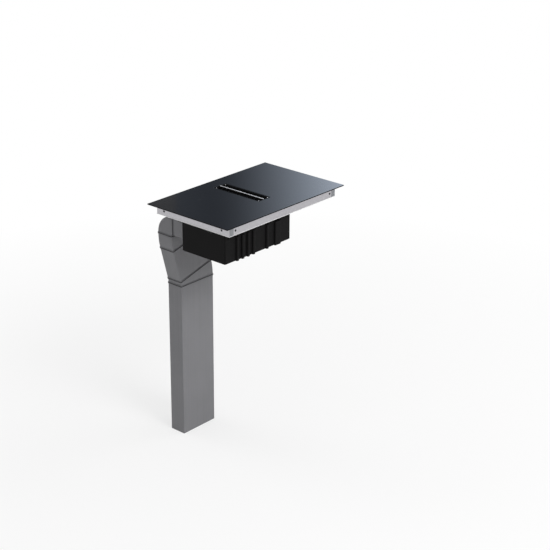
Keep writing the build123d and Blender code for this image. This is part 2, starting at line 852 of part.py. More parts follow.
rib_xs = [tub_left + rib_start + rib_pitch * i for i in range(rib_count)] + [tub_right - lone_rib]
rib_top = cover_bottom - rib_drop
divider_length = tub_back - tub_front - 2 * tub_wall
divider_y = (tub_back + tub_front) / 2
collar_plane = Plane(origin=(duct_x, 0, duct_z), x_dir=(1, 0, 0), z_dir=(0, 1, 0))
with BuildPart() as housing_tub:
    extrude(tub_plan(tub_bottom), amount=tub_height)
    chamfer(housing_tub.faces().sort_by(Axis.Z)[0].edges(), length=tub_foot_bevel)
    flange_foot = cover_bottom - tub_flange_thick
    extrude(tub_plan(flange_foot, tub_flange), amount=tub_flange_thick)
    extrude(tab_plan(flange_foot), amount=tub_flange_thick)
    with BuildSketch(Plane.XY.offset(tub_bottom)):
        with Locations(*[(x, tub_front) for x in rib_xs]):
            RectangleRounded(rib_width, 2 * rib_proud, rib_round)
        with Locations((tub_right - wide_rib, tub_front)):
            RectangleRounded(wide_rib_width, 2 * rib_proud, rib_round)
    extrude(amount=rib_top - tub_bottom)
    extrude(tub_plan(tub_floor, -tub_wall), amount=tub_height, mode=Mode.SUBTRACT)
    extrude(tab_screws(screw_radius, flange_foot), amount=tub_flange_thick, mode=Mode.SUBTRACT)
    with BuildSketch(Plane.XY.offset(latch_foot)):
        with Locations(*[(x, tub_front) for x in latch_xs]):
            Rectangle(latch_width, 2 * tub_wall)
    extrude(amount=latch_height, mode=Mode.SUBTRACT)
    with BuildSketch(Plane.XY.offset(tub_floor)):
        for side in (-1, 1):
            with Locations((side * (chamber_half + tub_wall / 2), divider_y)):
                Rectangle(tub_wall, divider_length)
    extrude(amount=cover_bottom - tub_floor)
    with BuildSketch(Plane.XY.offset(tub_floor)):
        with Locations((-chamber_half - tub_wall / 2, fan_y)):
            Rectangle(tub_wall, passage_width)
    extrude(amount=scroll_bottom - tub_floor, mode=Mode.SUBTRACT)
    with BuildSketch(Plane.XY.offset(tub_floor)):
        with Locations(fan_axis):
            with PolarLocations(scroll_start - post_radius, 4, start_angle=45):
                Circle(post_radius)
    extrude(amount=scroll_bottom - tub_floor)
    with BuildSketch(collar_plane.offset(outlet_face - tub_wall)):
        Rectangle(bore_width, bore_height)
    extrude(amount=tub_wall, mode=Mode.SUBTRACT)
save(housing_tub, "housing_tub")

with BuildPart() as cover_screws:
    flange_foot = cover_bottom - tub_flange_thick
    extrude(tab_screws(screw_radius, flange_foot), amount=screw_length)
    with BuildSketch(Plane.XY.offset(flange_foot - screw_head_height)):
        with Locations(*[(x, y) for x in screw_xs for y in tab_ys]):
            RegularPolygon(screw_head, 6)
    extrude(amount=screw_head_height)
save(cover_screws, "cover_screws")

with BuildPart() as control_unit:
    unit_x = chamber_half + tub_wall + board_bay / 2
    extrude(plan(control_width, control_length, tray_corner, tub_floor, (unit_x, divider_y)),
            amount=control_height)
save(control_unit, "control_unit")

# ---------------------------------------------------------------------- the fan


def scroll_plan(height, grow=0.0):
    """The scroll's spiral plan, cut square where its neck meets the outlet collar."""
    start = (fan_x + scroll_start * cos(radians(45)), fan_y + scroll_start * sin(radians(45)))
    neck_right = duct_x + bore_width / 2
    neck_left = duct_x - bore_width / 2
    with BuildSketch(Plane.XY.offset(height)) as drawn:
        with BuildLine():
            tongue = Line((neck_right, neck_end), start)
            first = JernArc(start, (1, -1), radius=scroll_start, arc_size=-45)
            second = JernArc(first @ 1, first % 1, radius=scroll_start + scroll_growth, arc_size=-90)
            third = JernArc(second @ 1, second % 1, radius=scroll_start + 2 * scroll_growth, arc_size=-90)
            side = Line(third @ 1, (neck_left, neck_end))
            Line(side @ 1, tongue @ 0)
        make_face()
        if grow:
            offset(amount=grow, kind=Kind.INTERSECTION)
            with Locations((duct_x, neck_end + 2 * grow)):
                Rectangle(bore_width + 6 * grow, 4 * grow, mode=Mode.SUBTRACT)
    return drawn.sketch


with BuildPart() as fan_scroll:
    extrude(scroll_plan(scroll_bottom, scroll_wall), amount=cover_bottom - scroll_bottom)
    extrude(scroll_plan(scroll_floor), amount=cover_bottom - scroll_floor, mode=Mode.SUBTRACT)
    extrude(disc(inlet_radius + inlet_wall, scroll_bottom, fan_axis), amount=scroll_wall, mode=Mode.SUBTRACT)
save(fan_scroll, "fan_scroll")

impeller_top = cover_bottom - impeller_sink
impeller_bottom = impeller_top - impeller_height
eye_radius = inlet_radius + inlet_wall + shroud_gap
throat_top = impeller_bottom + shroud_thick - inlet_short

with BuildPart() as inlet_ring:
    throat = inlet_radius + inlet_wall
    mouth = throat + inlet_lip
    lip_foot = scroll_bottom - inlet_lip
    with BuildSketch(Plane.XZ):
        with BuildLine():
            Polyline(
                (inlet_radius, throat_top), (throat, throat_top), (throat, scroll_bottom),
                (throat + inlet_flange, scroll_bottom), (throat + inlet_flange, scroll_bottom - inlet_wall),
                (mouth, scroll_bottom - inlet_wall), (mouth, lip_foot),
                (mouth - inlet_wall, lip_foot), (inlet_radius, scroll_bottom), close=True,
            )
        make_face()
    revolve(axis=Axis.Z)
inlet_ring.part.position = (fan_x, fan_y, 0)
save(inlet_ring, "inlet_ring")


def polar(radius, angle):
    """A point at a radius and an angle in degrees."""
    return radius * cos(radians(angle)), radius * sin(radians(angle))


def blade_plan():
    """One backward-curved blade about the origin, its tip trailing a clockwise turn."""
    tip = impeller_radius - impeller_plate / 2
    slant = impeller_blade / blade_root * 180 / pi
    with BuildSketch() as drawn:
        with BuildLine():
            front = RadiusArc(polar(blade_root, 0), polar(tip, blade_sweep), -blade_curve)
            back = RadiusArc(polar(blade_root, slant), polar(tip, blade_sweep + slant), -blade_curve)
            Line(front @ 0, back @ 0)
            Line(front @ 1, back @ 1)
        make_face()
    return drawn.sketch


cup_radius = rotor_inner_radius + rotor_cup_wall
motor_foot = cover_bottom - bush_height - motor_flange_thick
cup_mouth = motor_foot - motor_gap
cup_base = cup_mouth - rotor_cup_height
with BuildPart() as fan_impeller:
    extrude(disc(impeller_radius, impeller_top - impeller_plate, fan_axis, cup_radius), amount=impeller_plate)
    extrude(disc(impeller_radius, impeller_bottom, fan_axis, eye_radius), amount=shroud_thick)
    with BuildSketch(Plane.XY.offset(impeller_bottom + shroud_thick)):
        with Locations(fan_axis):
            with PolarLocations(0, blade_count):
                add(blade_plan())
    extrude(amount=impeller_height - shroud_thick - impeller_plate)
save(fan_impeller, "fan_impeller")

with BuildPart() as motor_stator:
    extrude(disc(motor_flange_radius, motor_foot, fan_axis), amount=motor_flange_thick)
    extrude(disc(stator_radius, motor_foot - stator_height, fan_axis), amount=stator_height)
    extrude(disc(bearing_radius, motor_foot - stator_height, fan_axis),
            amount=stator_height + motor_flange_thick, mode=Mode.SUBTRACT)
save(motor_stator, "motor_stator")

with BuildPart() as motor_bearings:
    for foot in (motor_foot - stator_height, motor_foot + motor_flange_thick - bearing_width):
        extrude(disc(bearing_radius, foot, fan_axis, motor_shaft_radius + shaft_fit), amount=bearing_width)
save(motor_bearings, "motor_bearings")

with BuildPart() as motor_rotor:
    extrude(disc(cup_radius, cup_base, fan_axis), amount=rotor_cup_height)
    extrude(disc(rotor_inner_radius, cup_base + rotor_cup_wall, fan_axis),
            amount=rotor_cup_height - rotor_cup_wall, mode=Mode.SUBTRACT)
    extrude(disc(motor_shaft_radius, cup_base, fan_axis), amount=rotor_cup_wall, mode=Mode.SUBTRACT)
save(motor_rotor, "motor_rotor")

with BuildPart() as motor_shaft:
    shaft_length = motor_foot + motor_flange_thick - cup_base
    extrude(disc(motor_shaft_radius, cup_base, fan_axis), amount=shaft_length)
save(motor_shaft, "motor_shaft")

with BuildPart() as motor_bushes:
    with BuildSketch(Plane.XY.offset(cover_bottom - bush_height)):
        with Locations(fan_axis):
            with PolarLocations(bush_ring, bush_count):
                Circle(bush_radius)
    extrude(amount=bush_height)
save(motor_bushes, "motor_bushes")

# ------------------------------------------------------------ outlet and its flaps

spigot_width = bore_width - 2 * collar_fit
spigot_height = bore_height - 2 * collar_fit
way_width = spigot_width - 2 * collar_wall
way_height = spigot_height - 2 * collar_wall
way_top = duct_z + way_height / 2
way_bottom = duct_z - way_height / 2
flap_y = outlet_face + flap_setback
stop_back = flap_y - flap_thick / 2 - flap_rest
upper_pin_z = way_top - stop_reach - flap_knuckle - flap_edge_gap
flap_pitch = (upper_pin_z - way_bottom) / 2
pin_heights = {"upper": upper_pin_z, "lower": upper_pin_z - flap_pitch}
flap_feet = {
    "upper": upper_pin_z - flap_pitch + flap_knuckle + flap_edge_gap,
    "lower": way_bottom + flap_edge_gap,
}
flap_width = way_width - 2 * flap_side_gap
pin_side = Plane(origin=(duct_x, flap_y, 0), x_dir=(0, 1, 0), z_dir=(1, 0, 0))

with BuildPart() as outlet_collar:
    with BuildSketch(collar_plane.offset(neck_end)):
        with Locations((0, duct_z - (scroll_bottom + cover_bottom) / 2)):
            Rectangle(bore_width + 2 * scroll_wall, cover_bottom - scroll_bottom)
    extrude(amount=collar_wall)
    with BuildSketch(collar_plane.offset(neck_end + collar_wall)):
        RectangleRounded(spigot_width, spigot_height, duct_corner)
    extrude(amount=tub_wall + collar_length)
    with BuildSketch(collar_plane.offset(neck_end)):
        Rectangle(way_width, way_height)
    extrude(amount=collar_wall + tub_wall + collar_length, mode=Mode.SUBTRACT)
    with BuildSketch(collar_plane.offset(stop_back - stop_depth)):
        Rectangle(way_width, way_height)
        Rectangle(way_width - 2 * stop_reach, way_height - 2 * stop_reach, mode=Mode.SUBTRACT)
    extrude(amount=stop_depth)
    with BuildSketch(pin_side):
        with Locations(*[(0, z) for z in pin_heights.values()]):
            Circle(flap_pin_radius + flap_pin_fit)
    extrude(amount=way_width / 2 + flap_pin_seat, both=True, mode=Mode.SUBTRACT)
save(outlet_collar, "outlet_collar")


def flap(place):
    """One flap hanging from its knuckle, bored for its pin."""
    pin_z = pin_heights[place]
    drop = pin_z - flap_feet[place]
    with BuildPart() as leaf:
        with BuildSketch(pin_side):
            with Locations((0, pin_z)):
                Circle(flap_knuckle)
        extrude(amount=flap_width / 2 - stop_reach, both=True)
        with BuildSketch(pin_side):
            with Locations((0, pin_z - drop / 2)):
                Rectangle(flap_thick, drop)
        extrude(amount=flap_width / 2, both=True)
        with BuildSketch(pin_side):
            with Locations((0, pin_z)):
                Circle(flap_pin_radius)
        extrude(amount=flap_width / 2, both=True, mode=Mode.SUBTRACT)
    return leaf


def flap_pin(place):
    """The steel pin that one flap turns on."""
    with BuildPart() as pin:
        with BuildSketch(pin_side):
            with Locations((0, pin_heights[place])):
                Circle(flap_pin_radius)
        extrude(amount=way_width / 2 + flap_pin_seat - flap_rest, both=True)
    return pin


for place in pin_heights:
    save(flap(place), f"flap_{place}")
    save(flap_pin(place), f"flap_pin_{place}")

# ------------------------------------------------------------------- flat duct


def duct_section(plane):
    """The hollow section of the flat duct on a plane across the flow."""
    with BuildSketch(plane) as drawn:
        RectangleRounded(duct_width, duct_height, duct_corner)
        Rectangle(bore_width, bore_height, mode=Mode.SUBTRACT)
    return drawn.sketch


def leaning(x, z, lean):
    """The plane across the flow where the duct goes down at a lean from upright."""
    tilt = radians(lean)
    return Plane(
        origin=(x, drop_y, z), x_dir=(cos(tilt), 0, sin(tilt)), z_dir=(sin(tilt), 0, -cos(tilt)),
    )


stub_end = outlet_face + stub_length
elbow_y = stub_end + spigot
elbow_z = duct_top - duct_height - elbow_inner
drop_y = elbow_y + elbow_inner + duct_height / 2
elbow_foot = elbow_z - spigot
bend_radius = bend_inner + duct_width / 2
bend_drop = bend_radius * sin(radians(bend_angle))
bend_shift = bend_radius * (1 - cos(radians(bend_angle)))
slant_drop = cos(radians(bend_angle))
slant_shift = sin(radians(bend_angle))

# Where each length starts, from the elbow's foot down
upper_start = leaning(duct_x, elbow_foot, 0)
upper_arc = upper_start.offset(spigot)
upper_turned = leaning(duct_x + bend_shift, elbow_foot - spigot - bend_drop, bend_angle)
offset_start = upper_turned.offset(spigot)
offset_end = offset_start.offset(offset_length)
lower_arc = offset_end.offset(spigot)
lower_turned = leaning(
    lower_arc.origin.X + bend_shift, lower_arc.origin.Z - bend_drop, 0,
)
drop_start = lower_turned.offset(spigot)
upper_hub = Axis((duct_x + bend_radius, drop_y, elbow_foot - spigot), (0, -1, 0))
lower_hub = Axis(
    (lower_arc.origin.X - bend_radius * slant_drop, drop_y, lower_arc.origin.Z - bend_radius * slant_shift),
    (0, 1, 0),
)

with BuildPart() as duct_stub:
    extrude(duct_section(collar_plane.offset(outlet_face)), amount=stub_length)
save(duct_stub, "duct_stub")

with BuildPart() as duct_elbow:
    extrude(duct_section(collar_plane.offset(stub_end)), amount=spigot)
    hub = Axis((duct_x, elbow_y, elbow_z), (-1, 0, 0))
    revolve(duct_section(collar_plane.offset(elbow_y)), axis=hub, revolution_arc=90)
    extrude(duct_section(leaning(duct_x, elbow_z, 0)), amount=spigot)
save(duct_elbow, "duct_elbow")


def bend(start, arc, turned, hub):
    """One shallow bend with a straight spigot at each end."""
    with BuildPart() as piece:
        extrude(duct_section(start), amount=spigot)
        revolve(duct_section(arc), axis=hub, revolution_arc=bend_angle)
        extrude(duct_section(turned), amount=spigot)
    return piece


save(bend(upper_start, upper_arc, upper_turned, upper_hub), "duct_bend_upper")

with BuildPart() as duct_offset:
    extrude(duct_section(offset_start), amount=offset_length)
save(duct_offset, "duct_offset")

save(bend(offset_end, lower_arc, lower_turned, lower_hub), "duct_bend_lower")

with BuildPart() as duct_drop:
    extrude(duct_section(drop_start), amount=drop_length)
save(duct_drop, "duct_drop")


def seam_ring(plane):
    """The band that closes one seam, half on each length."""
    with BuildPart() as ring:
        with BuildSketch(plane.offset(-ring_width / 2)):
            RectangleRounded(
                duct_width + 2 * ring_proud, duct_height + 2 * ring_proud, duct_corner + ring_proud,
            )
            RectangleRounded(duct_width, duct_height, duct_corner, mode=Mode.SUBTRACT)
        extrude(amount=ring_width)
    return ring


seams = (collar_plane.offset(stub_end), upper_start, offset_start, offset_end, drop_start)
with BuildPart() as duct_rings:
    for seam in seams:
        add(seam_ring(seam).part)
save(duct_rings, "duct_rings")
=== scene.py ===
"""Looks for a flat induction hob with its downdraft extractor and flat duct.

Lengths are in metres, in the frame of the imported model: +Z up, the hob's front towards -Y,
and the foot of the seal under the glass at z = 0. Forms are rows of pairs in millimetres.
"""

import json
import logging
from abc import ABC, abstractmethod
from collections.abc import Callable, Mapping, Sequence
from dataclasses import dataclass
from enum import Enum
from math import atan2, cos, pi, radians, sin, tau
from typing import Any, Optional, Union

import bmesh
import bpy
from bmesh.types import BMesh
from bpy.types import Material, NodeSocket, NodeTree, Object
from mathutils import Matrix, Vector


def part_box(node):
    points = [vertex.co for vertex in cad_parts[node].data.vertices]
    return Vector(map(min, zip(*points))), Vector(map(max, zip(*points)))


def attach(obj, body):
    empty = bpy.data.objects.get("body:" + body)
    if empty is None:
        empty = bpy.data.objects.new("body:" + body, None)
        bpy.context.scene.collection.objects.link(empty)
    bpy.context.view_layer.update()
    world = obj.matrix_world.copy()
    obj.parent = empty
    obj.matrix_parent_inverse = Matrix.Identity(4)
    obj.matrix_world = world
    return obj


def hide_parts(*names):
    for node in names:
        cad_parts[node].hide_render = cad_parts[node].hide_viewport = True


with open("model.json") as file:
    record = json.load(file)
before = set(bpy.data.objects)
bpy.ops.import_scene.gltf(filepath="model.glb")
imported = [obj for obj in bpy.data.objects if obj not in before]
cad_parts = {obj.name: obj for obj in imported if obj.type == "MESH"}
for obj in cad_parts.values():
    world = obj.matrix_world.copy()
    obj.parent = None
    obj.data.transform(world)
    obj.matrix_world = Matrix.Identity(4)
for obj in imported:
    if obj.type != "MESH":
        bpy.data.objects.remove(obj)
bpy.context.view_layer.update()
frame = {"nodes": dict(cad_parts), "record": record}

log = logging.getLogger("hob")
Point = tuple[float, float, float]
Colour = tuple[float, float, float]
Pair = tuple[float, float]
Form = tuple[Pair, ...]
Loop = list[Point]
Sizes = Mapping[str, Any]

MM = 0.001
ORIGIN = (0.0, 0.0, 0.0)
EVEN = (1.0, 1.0, 1.0)
WHITE = (1.0, 1.0, 1.0)
BLACK = (0.0, 0.0, 0.0)
CORNERS = tuple((sx, sy) for sx in (-1, 1) for sy in (-1, 1))


# ---------- node graphs


def operator(operation: str, swapped: bool = False) -> Callable[["Wire", "Value"], "Wire"]:
    """A method that adds one Math node on a wire and another value.

    Args:
        operation: the node's operation.
        swapped: whether the other value comes first.

    Returns:
        The method.
    """

    def apply(self: "Wire", other: "Value") -> "Wire":
        """The node's result."""
        return self.math(operation, *((other, self) if swapped else (self, other)))

    return apply


class Wire:
    """An output of a node graph that takes part in plain arithmetic."""

    __add__ = __radd__ = operator("ADD")
    __sub__, __rsub__ = operator("SUBTRACT"), operator("SUBTRACT", swapped=True)
    __mul__ = __rmul__ = operator("MULTIPLY")
    __truediv__, __rtruediv__ = operator("DIVIDE"), operator("DIVIDE", swapped=True)
    __mod__, __rmod__ = operator("FLOORED_MODULO"), operator("FLOORED_MODULO", swapped=True)
    __gt__, __lt__ = operator("GREATER_THAN"), operator("LESS_THAN")

    def __init__(self, graph: "Graph", socket: NodeSocket) -> None:
        """Hold an output socket and its graph."""
        self.graph = graph
        self.socket = socket

    def math(self, operation: str, *values: "Value") -> "Wire":
        """One Math node on values in their order."""
        return self.graph.node("ShaderNodeMath", {"operation": operation}, dict(enumerate(values)))

    def __abs__(self) -> "Wire":
        """This without its sign."""
        return self.math("ABSOLUTE", self)

    def sine(self) -> "Wire":
        """The sine of this."""
        return self.math("SINE", self)

    def ramp(self, low: float, high: float) -> "Wire":
        """A straight rise from nothing at low to one at high, held outside them."""
        return self.graph.node("ShaderNodeMapRange", {"clamp": True},
                               {"Value": self, "From Min": low, "From Max": high})


Value = Union[Wire, float, Sequence[float]]


class Graph:
    """A node graph that is built by one call for each node."""

    def __init__(self, tree: NodeTree) -> None:
        """Hold the tree that nodes are added to."""
        self.tree = tree

    def feed(self, socket: NodeSocket, value: Any) -> None:
        """Link a wire to an input, or set its value.

        Args:
            socket: the input.
            value: a wire, a number or a row of numbers.
        """
        if isinstance(value, Wire):
            self.tree.links.new(value.socket, socket)
        elif socket.type == "RGBA" and len(value) == 3:
            socket.default_value = (*value, 1.0)
        else:
            socket.default_value = value

    def node(self, kind: str, settings: Optional[Sizes] = None,
             inputs: Optional[Mapping[Any, Any]] = None, output: Union[int, str] = 0) -> Wire:
        """Add a node: its settings first, then its inputs.

        Args:
            kind: the node's type.
            settings: its own properties.
            inputs: values or wires by the socket's name or number.
            output: the output that is wanted.

        Returns:
            That output.
        """
        made = self.tree.nodes.new(kind)
        for name, value in (settings or {}).items():
            setattr(made, name, value)
        for key, value in (inputs or {}).items():
            self.feed(made.inputs[key], value)
        return Wire(self, made.outputs[output])

    def end(self, kind: str, result: Wire) -> None:
        """Send a result to the first input of a new output node."""
        self.tree.links.new(result.socket, self.tree.nodes.new(kind).inputs[0])

    def pack(self, x: Value = 0.0, y: Value = 0.0, z: Value = 0.0) -> Wire:
        """A vector from its three parts."""
        return self.node("ShaderNodeCombineXYZ", {}, {"X": x, "Y": y, "Z": z})

    def part(self, vector: Wire, axis: str) -> Wire:
        """One part of a vector, by its axis letter."""
        return self.node("ShaderNodeSeparateXYZ", {}, {"Vector": vector}, axis)

    def vector(self, operation: str, *values: Value, output: str = "Value") -> Wire:
        """One Vector Math node on values in their order."""
        return self.node("ShaderNodeVectorMath", {"operation": operation},
                         dict(enumerate(values)), output)

    def ray(self, kind: str) -> Wire:
        """One for rays of a kind, such as Camera or Glossy, else nothing."""
        return self.node("ShaderNodeLightPath", output=f"Is {kind} Ray")


class Shader(Graph):
    """A surface material under construction."""

    def __init__(self, name: str) -> None:
        """Start an empty material.

        Args:
            name: the material's name.
        """
        self.material = bpy.data.materials.new(name)
        self.material.use_nodes = True
        self.material.node_tree.nodes.clear()
        super().__init__(self.material.node_tree)

    def place(self, scale: Value = EVEN, shift: Value = ORIGIN) -> Wire:
        """Where a point lies on the part, stretched by a scale and then shifted."""
        spot = self.node("ShaderNodeTexCoord", output="Object")
        return self.node("ShaderNodeMapping", {},
                         {"Vector": spot, "Scale": scale, "Location": shift})

    def noise(self, scale: float, detail: float = 2.0, rough: float = 0.5,
              spot: Optional[Wire] = None) -> Wire:
        """Soft noise from 0 to 1: blotches a metre, finer layers, their strength and the place."""
        return self.node("ShaderNodeTexNoise", {}, {
            "Vector": spot or self.place(), "Scale": scale, "Detail": detail, "Roughness": rough})

    def cells(self, scale: float, output: str = "Distance") -> Wire:
        """Cells about so many scattered points a metre, by distance or by colour."""
        return self.node("ShaderNodeTexVoronoi", {"feature": "F1"},
                         {"Vector": self.place(), "Scale": scale}, output)

    def mix(self, share: Value, first: Value, second: Value) -> Wire:
        """A blend of two colours by the share of the second."""
        return self.node("ShaderNodeMix", {"data_type": "RGBA"}, {0: share, 6: first, 7: second}, 2)

    def bump(self, height: Wire, depth: float, strength: float) -> Wire:
        """A normal that follows a height, of which one is the full depth in metres."""
        return self.node("ShaderNodeBump", {},
                         {"Height": height, "Distance": depth, "Strength": strength}, "Normal")

    def glow(self, colour: Colour, strength: Value) -> Wire:
        """A surface that gives off light."""
        return self.node("ShaderNodeEmission", {},
                         {"Color": colour, "Strength": strength}, "Emission")

    def close(self, surface: Optional[Wire] = None, **sockets: Any) -> Material:
        """Finish the material.

        Args:
            surface: its surface, if not the usual shader.
            sockets: the usual shader's inputs, with spaces written as underscores.

        Returns:
            The material.
        """
        named = {name.replace("_", " "): value for name, value in sockets.items()}
        self.end("ShaderNodeOutputMaterial",
                 surface or self.node("ShaderNodeBsdfPrincipled", {}, named, "BSDF"))
        return self.material


class Grower(Graph):
    """A Geometry Nodes tree with named sizes, which grows plain meshes on its places."""

    def __init__(self, name: str) -> None:
        """Start a tree with its output, its places, their turn and its finish.

        Args:
            name: the tree's name.
        """
        super().__init__(bpy.data.node_groups.new(name, "GeometryNodeTree"))
        self.tree.interface.new_socket("Geometry", in_out="OUTPUT",
                                       socket_type="NodeSocketGeometry")
        self.entry = self.tree.nodes.new("NodeGroupInput")
        self.values: dict[str, Any] = {}
        self.places = self.size("Places", "NodeSocketGeometry")
        self.turn = self.size("Turn", "NodeSocketVector")
        self.finish = self.size("Finish", "NodeSocketMaterial")

    def size(self, name: str, kind: str) -> Wire:
        """Add a named input of a socket type."""
        self.tree.interface.new_socket(name, in_out="INPUT", socket_type=kind)
        return Wire(self, self.entry.outputs[name])

    def sizes(self, **values: float) -> list[Wire]:
        """Add named inputs with their values: whole numbers and others.

        Args:
            values: the inputs' names and values.

        Returns:
            The inputs as wires.
        """
        self.values.update(values)
        return [self.size(name, "NodeSocketInt" if isinstance(value, int) else "NodeSocketFloat")
                for name, value in values.items()]

    def rectangle(self, width: Value, height: Value, radius: Value, steps: int = 2) -> Wire:
        """A rectangle with rounded corners of so many steps, as a curve."""
        flat = self.node("GeometryNodeCurvePrimitiveQuadrilateral", {"mode": "RECTANGLE"},
                         {"Width": width, "Height": height})
        return self.node("GeometryNodeFilletCurve", {"mode": "POLY"},
                         {"Curve": flat, "Radius": radius, "Count": steps, "Limit Radius": True})

    def circle(self, radius: Value, steps: int) -> Wire:
        """A circle of so many steps, as a curve."""
        return self.node("GeometryNodeCurvePrimitiveCircle", {"mode": "RADIUS"},
                         {"Resolution": steps, "Radius": radius})

    def line(self, start: Value, end: Value) -> Wire:
        """A straight curve along X."""
        return self.node("GeometryNodeCurvePrimitiveLine", {},
                         {"Start": self.pack(start), "End": self.pack(end)})

    def swept(self, curve: Wire, profile: Wire) -> Wire:
        """A closed bar along a curve."""
        return self.node("GeometryNodeCurveToMesh", {},
                         {"Curve": curve, "Profile Curve": profile, "Fill Caps": True})

    def cone(self, foot: Value, top: Value, depth: Value, sides: int) -> Wire:
        """A blunt cone with so many sides."""
        return self.node("GeometryNodeMeshCone", {}, {
            "Vertices": sides, "Radius Top": top, "Radius Bottom": foot, "Depth": depth})

    def cylinder(self, radius: Value, depth: Value, sides: int) -> Wire:
        """A cylinder with so many sides."""
        return self.node("GeometryNodeMeshCylinder", {},
                         {"Vertices": sides, "Radius": radius, "Depth": depth})

    def row(self, count: Value, step: Value, start: Value = ORIGIN) -> Wire:
        """A row of points, each one step from the last."""
        return self.node("GeometryNodeMeshLine", {"mode": "OFFSET"},
                         {"Count": count, "Start Location": start, "Offset": step})

    def copies(self, points: Wire, shape: Wire, turn: Value = ORIGIN) -> Wire:
        """A turned copy of a shape on every point."""
        return self.node("GeometryNodeInstanceOnPoints", {},
                         {"Points": points, "Instance": shape, "Rotation": turn})

    def lifted(self, shape: Wire, height: Value) -> Wire:
        """A shape that is moved up."""
        return self.node("GeometryNodeTransform", {},
                         {"Geometry": shape, "Translation": self.pack(0.0, 0.0, height)})

    def joined(self, *shapes: Wire) -> Wire:
        """Several shapes as one.

        Args:
            shapes: the shapes, in the order of their faces.

        Returns:
            The one shape.
        """
        made = self.tree.nodes.new("GeometryNodeJoinGeometry")
        for shape in reversed(shapes):
            self.tree.links.new(shape.socket, made.inputs[0])
        return Wire(self, made.outputs[0])

    def close(self, shape: Wire) -> None:
        """End the tree: real copies of a shape on its places, with their finish.

        Args:
            shape: what stands on each place.
        """
        spread = self.copies(self.places, shape, self.turn)
        real = self.node("GeometryNodeRealizeInstances", {}, {"Geometry": spread})
        self.end("NodeGroupOutput", self.node("GeometryNodeSetMaterial", {}, {
            "Geometry": real, "Material": self.finish}))

    def grow(self, name: str, finish: Material, places: Sequence[Point], changes: Sizes) -> Object:
        """Grow a plain mesh from the tree.

        Args:
            name: the piece's name.
            finish: its material.
            places: the points that the tree copies onto.
            changes: named inputs that differ from the tree's own values.

        Returns:
            The piece, with no modifier left on it.
        """
        seeds = bpy.data.meshes.new(name + "_places")
        seeds.from_pydata(list(places), [], [])
        holder = bpy.data.objects.new(name, seeds)
        bpy.context.scene.collection.objects.link(holder)
        modifier = holder.modifiers.new(name, "NODES")
        modifier.node_group = self.tree
        values = {**self.values, **changes, "Finish": finish}
        for item in self.tree.interface.items_tree:
            if item.in_out == "INPUT" and item.name in values:
                modifier[item.identifier] = values[item.name]
        state = bpy.context.evaluated_depsgraph_get()
        grown = bpy.data.meshes.new_from_object(holder.evaluated_get(state))
        holder.modifiers.remove(modifier)
        grown.materials.clear()
        grown.materials.append(finish)
        grown.polygons.foreach_set("material_index", [0] * len(grown.polygons))
        holder.data = grown
        grown.name = name
        return holder


# ---------- finishes


class Grain(Enum):
    """The direction of a brushed or drawn finish, as lines in a metre along each axis."""

    ALONG_X = (4.0, 900.0, 900.0)
    ALONG_Y = (900.0, 4.0, 900.0)
    ALONG_Z = (900.0, 900.0, 4.0)


@dataclass(frozen=True)
class Finish(ABC):
    """A finish: its name, its colour and how rough it is.

    Attributes:
        name: the material's name.
        colour: its linear base colour.
        roughness: how rough it is on average.
    """

    name: str
    colour: Colour
    roughness: float

    @abstractmethod
    def build(self) -> Material:
        """Make the material."""

    def shade(self, factor: float) -> Colour:
        """The base colour made lighter or darker."""
        return tuple(min(1.0, c * factor) for c in self.colour)

    def tones(self, shader: Shader, share: Value, dark: float, light: float) -> Wire:
        """The base colour from a darker to a lighter tone, by a share."""
        return shader.mix(share, self.shade(dark), self.shade(light))


@dataclass(frozen=True)
class CeramicGlass(Finish):
    """Black glass with wiping marks, a fine cross at each cooking zone and a row of touch dots.

    Attributes:
        smear: how much the wiping marks change the gloss.
        zone: how far a cooking zone's centre lies from the middle, along X and Y.
        arm: half the length and half the width of a cross's arm.
        touch: the level of the touch row along Y, half its length, its pitch and a dot's radius.
        printed: the colour of the crosses and dots.
    """

    smear: float = 0.05
    zone: Pair = (0.211, 0.112)
    arm: Pair = (0.006, 0.0004)
    touch: tuple[float, float, float, float] = (-0.205, 0.081, 0.018, 0.0011)
    printed: Colour = (0.050, 0.052, 0.056)

    def marks(self, shader: Shader) -> Wire:
        """Where the printed crosses and dots are.

        Args:
            shader: the material under construction.

        Returns:
            One on a mark, nothing beside it.
        """
        spot = shader.place()
        x, y = shader.part(spot, "X"), shader.part(spot, "Y")
        u, v = abs(abs(x) - self.zone[0]), abs(abs(y) - self.zone[1])
        long, thin = self.arm
        cross = (1 - (u > long)) * (1 - (v > thin)) + (1 - (u > thin)) * (1 - (v > long))
        level, half, pitch, radius = self.touch
        along = (x + pitch / 2) % pitch - pitch / 2
        away = y - level
        dots = (1 - (along * along + away * away > radius * radius)) * (1 - (abs(x) > half))
        return cross + dots

    def build(self) -> Material:
        """Make the glass, with wiping marks in its gloss and its printed marks.

        Returns:
            The material.
        """
        shader = Shader(self.name)
        streaks = shader.noise(1.0, detail=4.0, rough=0.6, spot=shader.place((5.0, 14.0, 5.0)))
        haze = shader.noise(7.0, detail=3.0)
        dust = shader.cells(260.0).ramp(0.06, 0.0)
        clean = self.tones(shader, haze * 0.35 + dust * 0.1, dark=1.0, light=1.8)
        waves = shader.noise(55.0, detail=1.0)
        return shader.close(
            Base_Color=shader.mix(self.marks(shader), clean, self.printed), IOR=1.5,
            Roughness=streaks * self.smear + haze * self.smear + (self.roughness - self.smear),
            Normal=shader.bump(waves, depth=0.00002, strength=0.4))


